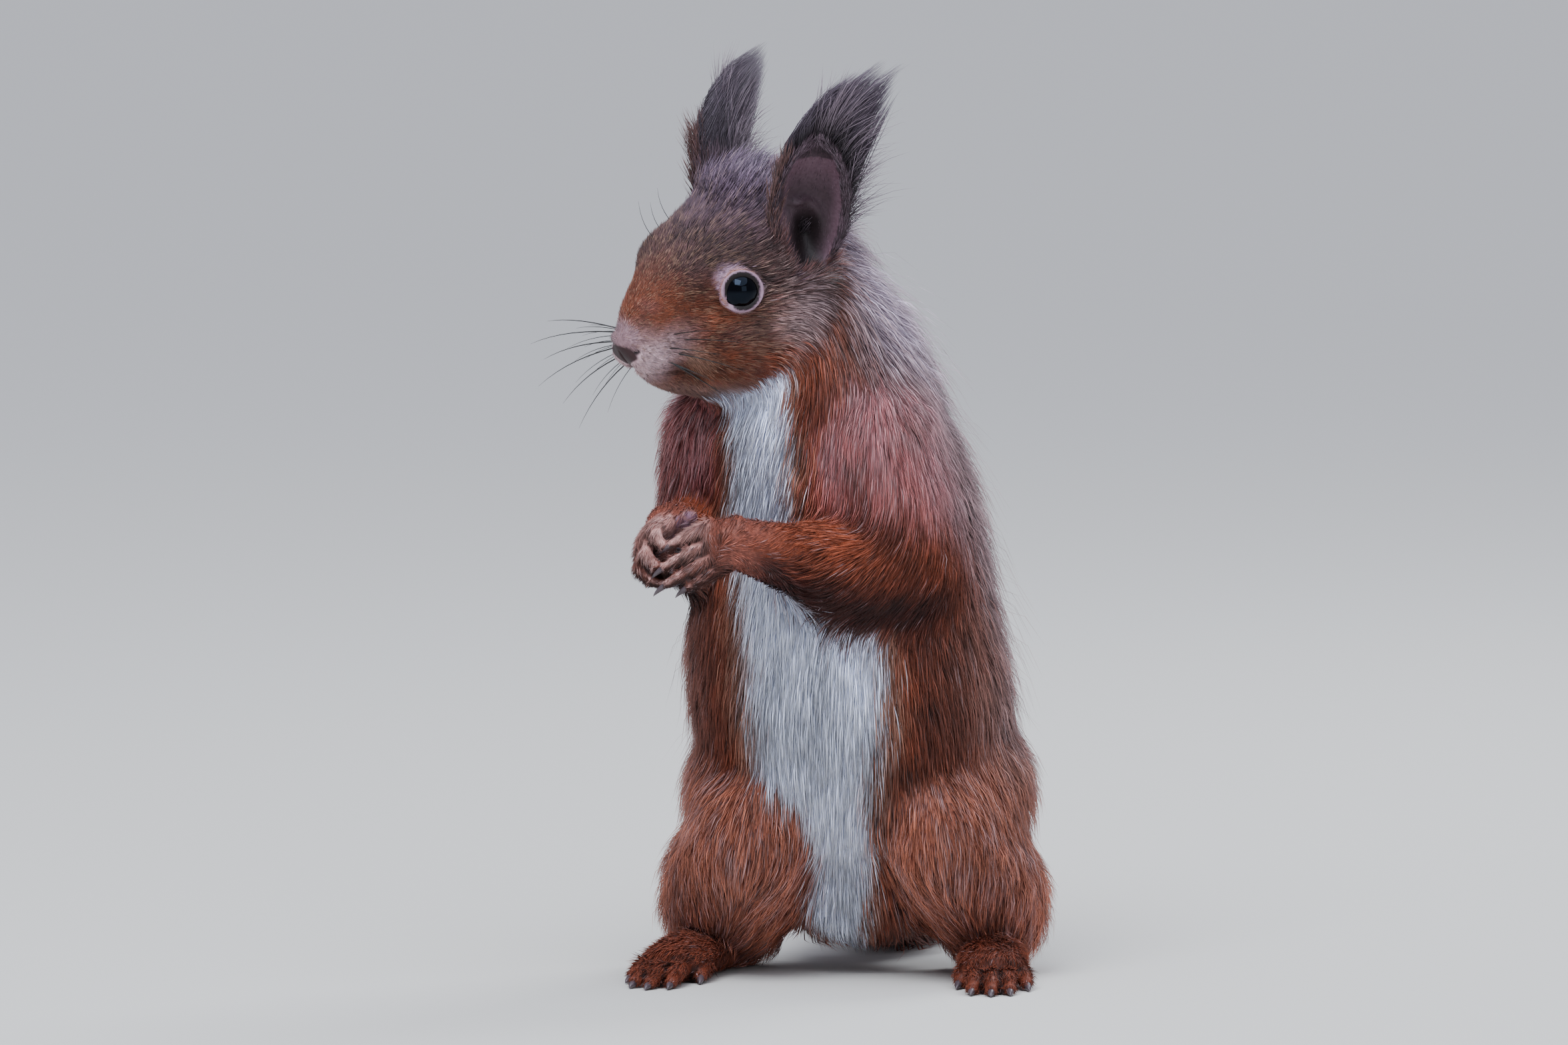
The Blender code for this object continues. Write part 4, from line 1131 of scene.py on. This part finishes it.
def grown(name, unwrap, part, kinds_in):
    """One sowing of tufts: the faces they stand on, how many, and how much longer, wider or more lifted."""
    chosen = np.isin(face_kind, part.get("on", kinds_in))
    if "where" in part:
        chosen = chosen & part["where"][triangles[:, 0]]
    corners, share = sown(chosen, hair[:, 3] * part["density"], part["most"])
    root, normal = between(points, corners, share), unit(between(normals, corners, share))
    length, lift, width, _ = between(hair, corners, share).T
    count = len(root)
    chance = rng.random((count, 4))
    lock = locks[corners[:, 0]] * between(parting, corners, share)[:, None]
    length = length * part.get("length", 1) * (0.65 + 0.7 * chance[:, 0])
    width = width * part.get("width", 1) * (0.7 + 0.6 * chance[:, 1])
    lift = np.radians(lift * part.get("lift", 1) * (0.6 + 0.8 * chance[:, 2] + 0.35 * lock[:, 2]))
    twist = np.radians(5 * between(swirl, corners, share) + 10 * (chance[:, 3] - 0.5) + 8 * lock[:, 1])
    way = between(lie, corners, share)
    way = unit(way - normal * (way * normal).sum(1, keepdims=True))
    way = way * np.cos(twist)[:, None] + np.cross(normal, way) * np.sin(twist)[:, None]
    side = np.cross(normal, way)
    root = root - normal * ROOT_DEPTH

    def reach(start, way, normal, lift, length):
        return start + (way * np.cos(lift)[:, None] + normal * np.sin(lift)[:, None]) * length[:, None]

    if part.get("bent", False):
        middle = reach(root, way, normal, lift * 1.25, length / 2)
        at = nearest_corner(middle)
        onward = lie[at] * 0.5 + way * 0.5
        onward = unit(onward - normals[at] * (onward * normals[at]).sum(1, keepdims=True))
        lines = np.stack([root, middle, reach(middle, onward, normals[at], lift * 0.45, length / 2)], 1)
        widths = np.stack([width * 0.5, width * 0.42, width * 0], 1)
    else:
        lines = np.stack([root, reach(root, way, normal, lift, length)], 1)
        widths = np.stack([width * 0.5, width * 0], 1)
    lines[..., 2] = np.maximum(lines[..., 2], FLOOR_GAP)
    colours = hair_colours(root, length, corners, share, lock)
    return tuft_mesh(name, lines, widths, side, normal, colours, on_map(unwrap, root))


def finished_coat(name, pieces):
    piece = joined(name, pieces)
    cover(piece, coat_finish)
    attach(piece, "root")


DENSE = 9  # a share of each form's own density, past what the triangles allow: they then set the number


def coat_piece(name, kinds_in, triangles_in, bent_share, where=None, straight=None, bent=None):
    """A piece of coat: short straight tufts of four triangles, and over them long bent ones of ten."""
    unwrap = unwrapped(kinds_in)
    both = {"density": DENSE} if where is None else {"density": DENSE, "where": where}
    under = {"most": int(triangles_in * (1 - bent_share) / 4), **(straight or {}), **both}
    over = {"most": int(triangles_in * bent_share / 10), "bent": True, **(bent or {}), **both}
    parts = [part for part in (under, over) if part["most"]]
    finished_coat(name, [grown(name, unwrap, part, kinds_in) for part in parts])


front = turn < 78  # degrees from the middle of the white front
fore = behind + 2.2 * patchy < 27  # the short hair of the face, up to a ragged line behind the eyes
SKULL, TRUNK, ARM = ("head", "eye"), ("belly", "chest", "neck"), ("upper_arm", "forearm")
UNDER, OVER = {"length": 0.85}, {"length": 1.18}
CROWN_OVER, BACK_OVER = {"length": 1.25, "lift": 1.2}, {"length": 1.3, "lift": 1.15}
# name, forms, triangles, the share of them in bent tufts, which part of the forms, and changes to the
# straight and the bent tufts
coat_piece("coat_face", SKULL, 190_000, 0.0, fore)
coat_piece("coat_crown", SKULL, 160_000, 0.35, ~fore, None, CROWN_OVER)
coat_piece("coat_front", TRUNK, 170_000, 0.4, front, UNDER, OVER)
coat_piece("coat_back", TRUNK, 160_000, 0.45, ~front, UNDER, BACK_OVER)
coat_piece("coat_arm_left", ARM, 140_000, 0.4, left, UNDER, OVER)
coat_piece("coat_arm_right", ARM, 80_000, 0.4, ~left, UNDER, OVER)
coat_piece("coat_legs", ("thigh", "shank"), 165_000, 0.45, None, UNDER, OVER)
coat_piece("coat_hands", ("hand",), 56_000, 0.0)
coat_piece("coat_feet", ("foot",), 60_000, 0.0)
coat_piece("coat_tail", ("tail",), 130_000, 0.96)

# ---- Standing hair ----
# The long thin guard hairs that stand out along the back and nape, and the soft upright hair of the crown.

GUARD = {"density": 0.2, "most": 1100, "length": 1.75, "lift": 1.9, "width": 0.5}
UPRIGHT = {"density": 2.0, "most": 1300, "length": 1.35, "lift": 3.4, "width": 0.9}
trunk_unwrap, head_unwrap = unwrapped(TRUNK), unwrapped(SKULL)
guard = {**GUARD, "bent": True, "where": ~front}
upright = {**UPRIGHT, "bent": True, "where": crown + 0.2 * patchy > 0.5}
standing = [grown("standing_hair", trunk_unwrap, guard, TRUNK)]
standing.append(grown("standing_hair", head_unwrap, upright, ("head",)))
finished_coat("standing_hair", standing)

# ---- Ears' coat ----
# Short dark hair on each ear, and the long tuft of the winter coat that stands up and back from its top. The
# tuft is dense at its foot and ends in pointed locks, and loose wisps run down the ear's rear edge.

TUFT_TIP = {"left": Vector((22, 56.5, 51)), "right": Vector((-20, 56, 46.5))}
TUFT_LOCKS = (  # across the tuft, how far back it leans, how long
    (-0.95, 0.0, 0.72),
    (-0.6, -0.4, 0.93),
    (-0.25, 0.5, 0.85),
    (0.1, -0.2, 1.04),
    (0.4, 0.4, 0.92),
    (0.7, -0.3, 1.0),
    (0.95, 0.2, 0.78),
)
TUFT_HAIRS, WISPS, RIM_HAIRS = 1800, 1300, 700
LONGEST = 25
STRAND = np.array((1.0, 0.9, 0.6, 0))  # a long hair's thickness along it
ear_unwrap = unwrapped(("ear",))
ear_pieces = [grown("coat_ears", ear_unwrap, {"density": 2.0, "most": 8800}, ("ear",))]


def on_rim(side, share, turn_in, lift):
    """Places on the back of an ear, by their share of its height and of its half width."""
    notch, tip, up, opening, across = (np.array(v) for v in ear_frames[side])
    half = half_width(share)
    spine = notch + (tip - notch) * share[:, None] + across * (half * turn_in)[:, None]
    return spine - opening * (ear_cup(half, turn_in) + lift)[:, None]


def strands(root, control, target, thick, root_hex, tip_hex, facing):
    """Long hairs bowed from root to target, as one mesh, broad side towards facing."""
    count = len(root)
    t = np.array((0.0, 0.38, 0.72, 1.0))[None, :, None]
    lines = root[:, None] * (1 - t) ** 2 + control[:, None] * 2 * t * (1 - t) + target[:, None] * t**2
    lines = from_head(lines)
    ways = unit(lines[:, -1] - lines[:, 0])
    broad = unit(np.cross(ways, HEAD_AXES @ facing) + rng.normal(size=(count, 3)) * 0.3)
    ridge = unit(np.cross(broad, ways))
    tone = rng.uniform(0.55, 1.5, (count, 1))
    colours = {"coat_root": linear(root_hex) * tone, "coat_tip": linear(tip_hex) * tone}
    places = on_map(ear_unwrap, lines[:, 0])
    return tuft_mesh("coat_ears", lines, thick[:, None] * STRAND[None], broad, ridge, colours, places)


for side, outward in SIDES.items():
    notch, tip, up, opening, across = (np.array(v) for v in ear_frames[side])
    rearward = across * outward
    narrow = 1.0 if side == "left" else 0.55
    end = np.array(TUFT_TIP[side])

    # the tuft itself
    count = TUFT_HAIRS
    share, turn_in = rng.uniform(0.35, 1.0, count) ** 0.8, rng.uniform(-1, 1, count)
    root = on_rim(side, share, turn_in, 0.3)
    table = np.array(TUFT_LOCKS)
    lock = table[np.abs(turn_in[:, None] - table[:, 0]).argmin(1)]
    aim = end + across * (lock[:, 0] * 7.2 * narrow + rng.normal(size=count) * 0.9)[:, None]
    aim = aim - opening * (lock[:, 1] * 2.5 + rng.normal(size=count) * 0.5)[:, None]
    full = np.minimum(lengths(aim - root) * lock[:, 2], LONGEST)
    length = full * (1 - 0.45 * rng.random(count) ** 1.6)
    on = unit(aim - root)
    target = root + on * length[:, None]
    bulge = across * (turn_in * 0.4)[:, None]
    control = root + unit(on * 0.5 + up * 0.9 - rearward * 0.1 + bulge) * (length * 0.5)[:, None]
    thick = rng.uniform(0.06, 0.11, count)
    ear_pieces.append(strands(root, control, target, thick, "120a0d", "5b4e5b", opening))

    # the wisps of the rear edge
    count = WISPS
    share, turn_in = rng.uniform(0.15, 1.0, count), outward * rng.uniform(-0.2, 1.0, count)
    root = on_rim(side, share, turn_in, 0.3)
    fan = (rng.uniform(0.15, 1.35, count) * (1.1 - 0.4 * share))[:, None]
    way = up * np.cos(fan) + rearward * narrow * np.sin(fan)
    way = unit(way - opening * 0.15 + rng.normal(size=(count, 3)) * 0.14)
    length = rng.uniform(7, 20, count) * (0.65 + 0.35 * share) * (0.6 + 0.4 * narrow)
    target = root + way * length[:, None]
    control = root + unit(way + up * 0.5) * (length * 0.5)[:, None]
    thick = rng.uniform(0.05, 0.095, count)
    ear_pieces.append(strands(root, control, target, thick, "1a1014", "85747f", opening))

    # the short hair of the front rim
    count = RIM_HAIRS
    share, turn_in = rng.uniform(0.0, 0.8, count), -outward * rng.uniform(0.7, 1.05, count)
    root = on_rim(side, share, turn_in, 0.2)
    way = up * 0.95 - rearward * 0.1 + opening * rng.uniform(0, 0.4, (count, 1))
    way = unit(way + rng.normal(size=(count, 3)) * 0.12)
    target = root + way * rng.uniform(4, 8, count)[:, None]
    control = root * 0.5 + target * 0.5 - rearward * 0.5
    thick = rng.uniform(0.06, 0.10, count)
    ear_pieces.append(strands(root, control, target, thick, "1c0e0d", "6a4a46", opening))
finished_coat("coat_ears", ear_pieces)

# ---- Eyes ----
# Black-brown eyeballs, deep in the lids, whose front bulges where the clear cornea is. A film of tears makes
# them as smooth as glass, so they mirror the lights, and a cool tint on that shine is painted sky light.

CORNEA_RISE = 0.03  # a share of the radius
eye_finish, tree, shader = finish_material("wet_eye", 0.02, 0.42)
shader.inputs["Base Color"].default_value = (*linear("040303"), 1)
shader.inputs["IOR"].default_value = 1.3
# a cool tint on the reflections: painted sky light
shader.inputs["Specular Tint"].default_value = (0.5, 0.68, 1.0, 1)
for side in SIDES:
    bpy.ops.mesh.primitive_uv_sphere_add(segments=48, ring_count=24, radius=EYE_RADIUS * MM)
    eye = bpy.context.object
    eye.name = f"eyeball_{side}"
    turn = (HEAD_LIE.to_3x3() @ eye_axes[side]).to_track_quat("Z", "Y").to_matrix().to_4x4()
    for vert in eye.data.vertices:
        bulge = step(vert.co.z / MM, EYE_RADIUS * 0.75, EYE_RADIUS)
        vert.co *= 1 + CORNEA_RISE * bulge
    eye.data.transform(Matrix.Translation(placed(HEAD @ EYE_CENTRE[side])) @ turn)
    eye.data.shade_smooth()
    eye.select_set(False)
    cover(eye, eye_finish)
    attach(eye, "root")
    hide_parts(f"eye_{side}")

# ---- Claws ----
# Dark horn, curved and pointed, one on each finger and toe. It is smooth enough for a small dull shine, and
# paler streaks about 1 mm apart show how it grows.

claw_finish, tree, shader = finish_material("claw_horn", 0.38, 0.5)
streaks = object_noise(tree, 900, 2)
horn = add_node(tree, "ShaderNodeMix", {"data_type": "RGBA"})
horn.inputs[6].default_value = (*linear("2a2022"), 1)
horn.inputs[7].default_value = (*linear("62545a"), 1)
tree.links.new(streaks.outputs["Fac"], horn.inputs[0])
tree.links.new(horn.outputs[2], shader.inputs["Base Color"])
claws = joined("claws", [tube("claw", line) for line in claw_lines])
claws.data.shade_smooth()
cover(claws, claw_finish)
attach(claws, "root")

# ---- Whiskers ----
# Black springy hairs, thicker and smoother than the coat's, so that a thin light runs along them. They stand
# in rows on each side of the muzzle, and three over each eye.

whisker_finish, tree, shader = finish_material("whisker", 0.35, 0.5)
shader.inputs["Base Color"].default_value = (*linear("0c0908"), 1)
WHISKERS = (  # in the head: out from the middle, behind the nose tip, up, then rise and length
    (3.4, 6.5, -0.6, 0.36, 18.5),
    (3.8, 8.2, -1.4, 0.16, 22.5),
    (3.4, 5.6, -2.2, 0.06, 18.0),
    (4.0, 7.6, -3.2, -0.12, 21.0),
    (3.4, 6.2, -4.2, -0.34, 16.5),
    (3.8, 8.4, -5.0, -0.62, 17.5),
)
WHISKER_LIE = {  # how far they are swept back, how much of their fan they keep, and share of their length
    "left": (0.42, 0.75, 0.8),
    "right": (-0.68, 1.0, 1.3),
}
WHISKER_BOW = Vector((0.0, 0.20, -0.26))  # how far its tip is carried back and down, by its length
FINER = ((0.0, 1.0, 0.14), (0.7, 0.72, 0.09), (-0.6, 0.5, 0.07))  # further back, share of length, radius
BROW_HAIRS = ((16.0, 10), (18.0, 8), (20.5, 9))  # how far behind the nose tip, and how long
whiskers = []


def bristle(name, root, way, bow, length, thick):
    line = []
    for t in np.linspace(0, 1, 10):
        at = HEAD @ (root + (way * t + bow * t * t) * length)
        line.append((*at, thick * (1 - t) ** 0.7 + 0.015))
    whiskers.append(tube(name, line, sides=0))


for side, outward in SIDES.items():
    sweep, fan, long = WHISKER_LIE[side]
    for out, back, up, rise, length in WHISKERS:
        for further, share, thick in FINER:
            root = Vector((out * outward, back + further, up - 0.6 * further))
            tilt = 0.2 + (rise - 0.2) * fan - 0.15 * further
            way = Vector((0.75 * outward, sweep + 0.2 * further, tilt)).normalized()
            bristle("whisker", root, way, WHISKER_BOW * fan, length * share * long, thick)
    for place, length in BROW_HAIRS:
        root = Vector((outward * 5.0, place, 15.5 + 0.6 * (place - 15.5)))
        way, bow = Vector((outward * 0.6, -0.5, 0.75)), Vector((0, 0.45, 0.1))
        bristle("brow_hair", root, way, bow, length, 0.08)
whiskers = joined("whiskers", whiskers)
whiskers.data.shade_smooth()
cover(whiskers, whisker_finish)
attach(whiskers, "root")
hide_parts(*[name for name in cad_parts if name.startswith("whisker")])

# ---- Floor and light ----
# A plain pale matt floor that runs out of sight, in a pale room. The light is cool and broad: the ceiling's,
# a key lamp's from high in front, a weak one's from the left, and one's from behind that edges the fur.

FLOOR_SIZE = 80  # metres
COOL, CEILING_COOL = (0.88, 0.93, 1.0), (0.83, 0.87, 1.0)
LAMPS = (  # bearing and rise in degrees, distance and size in metres, watts
    ("key", -8, 52, 1.0, 0.5, 8.5),
    ("fill", 35, 15, 1.3, 0.6, 2.0),
    ("back", 150, 45, 1.0, 0.4, 6),
)
bpy.ops.mesh.primitive_plane_add(size=FLOOR_SIZE)
floor = bpy.context.object
floor.name = "floor"
floor_finish, tree, shader = finish_material("pale_floor", 0.9, 0.2)
shader.inputs["Base Color"].default_value = (*linear("d6d4ce"), 1)
cover(floor, floor_finish)
floor.select_set(False)

world = bpy.data.worlds.new("room")
bpy.context.scene.world = world
world.use_nodes = True
air = world.node_tree.nodes["Background"]
air.inputs["Color"].default_value = (*linear("dde3f8"), 1)
air.inputs["Strength"].default_value = 0.43

bpy.ops.object.light_add(type="SUN", rotation=(radians(24), radians(8), 0))
ceiling = bpy.context.object
ceiling.name = "ceiling"
ceiling.data.energy = 2.5
ceiling.data.angle = radians(70)
ceiling.data.color = CEILING_COOL
ceiling.select_set(False)

middle = hips * MM + Vector((0, 0, 0.09))  # all the lamps face it
for name, bearing, rise, distance, size, power in LAMPS:
    turn, tilt = radians(bearing), radians(rise)
    towards_lamp = Vector((sin(turn) * cos(tilt), -cos(turn) * cos(tilt), sin(tilt)))
    lamp_place = middle + towards_lamp * distance
    lamp_turn = (lamp_place - middle).to_track_quat("Z", "Y").to_euler()
    bpy.ops.object.light_add(type="AREA", location=lamp_place, rotation=lamp_turn)
    light = bpy.context.object
    light.name = name
    light.data.size = size
    light.data.color = COOL
    light.data.energy = power
    light.select_set(False)
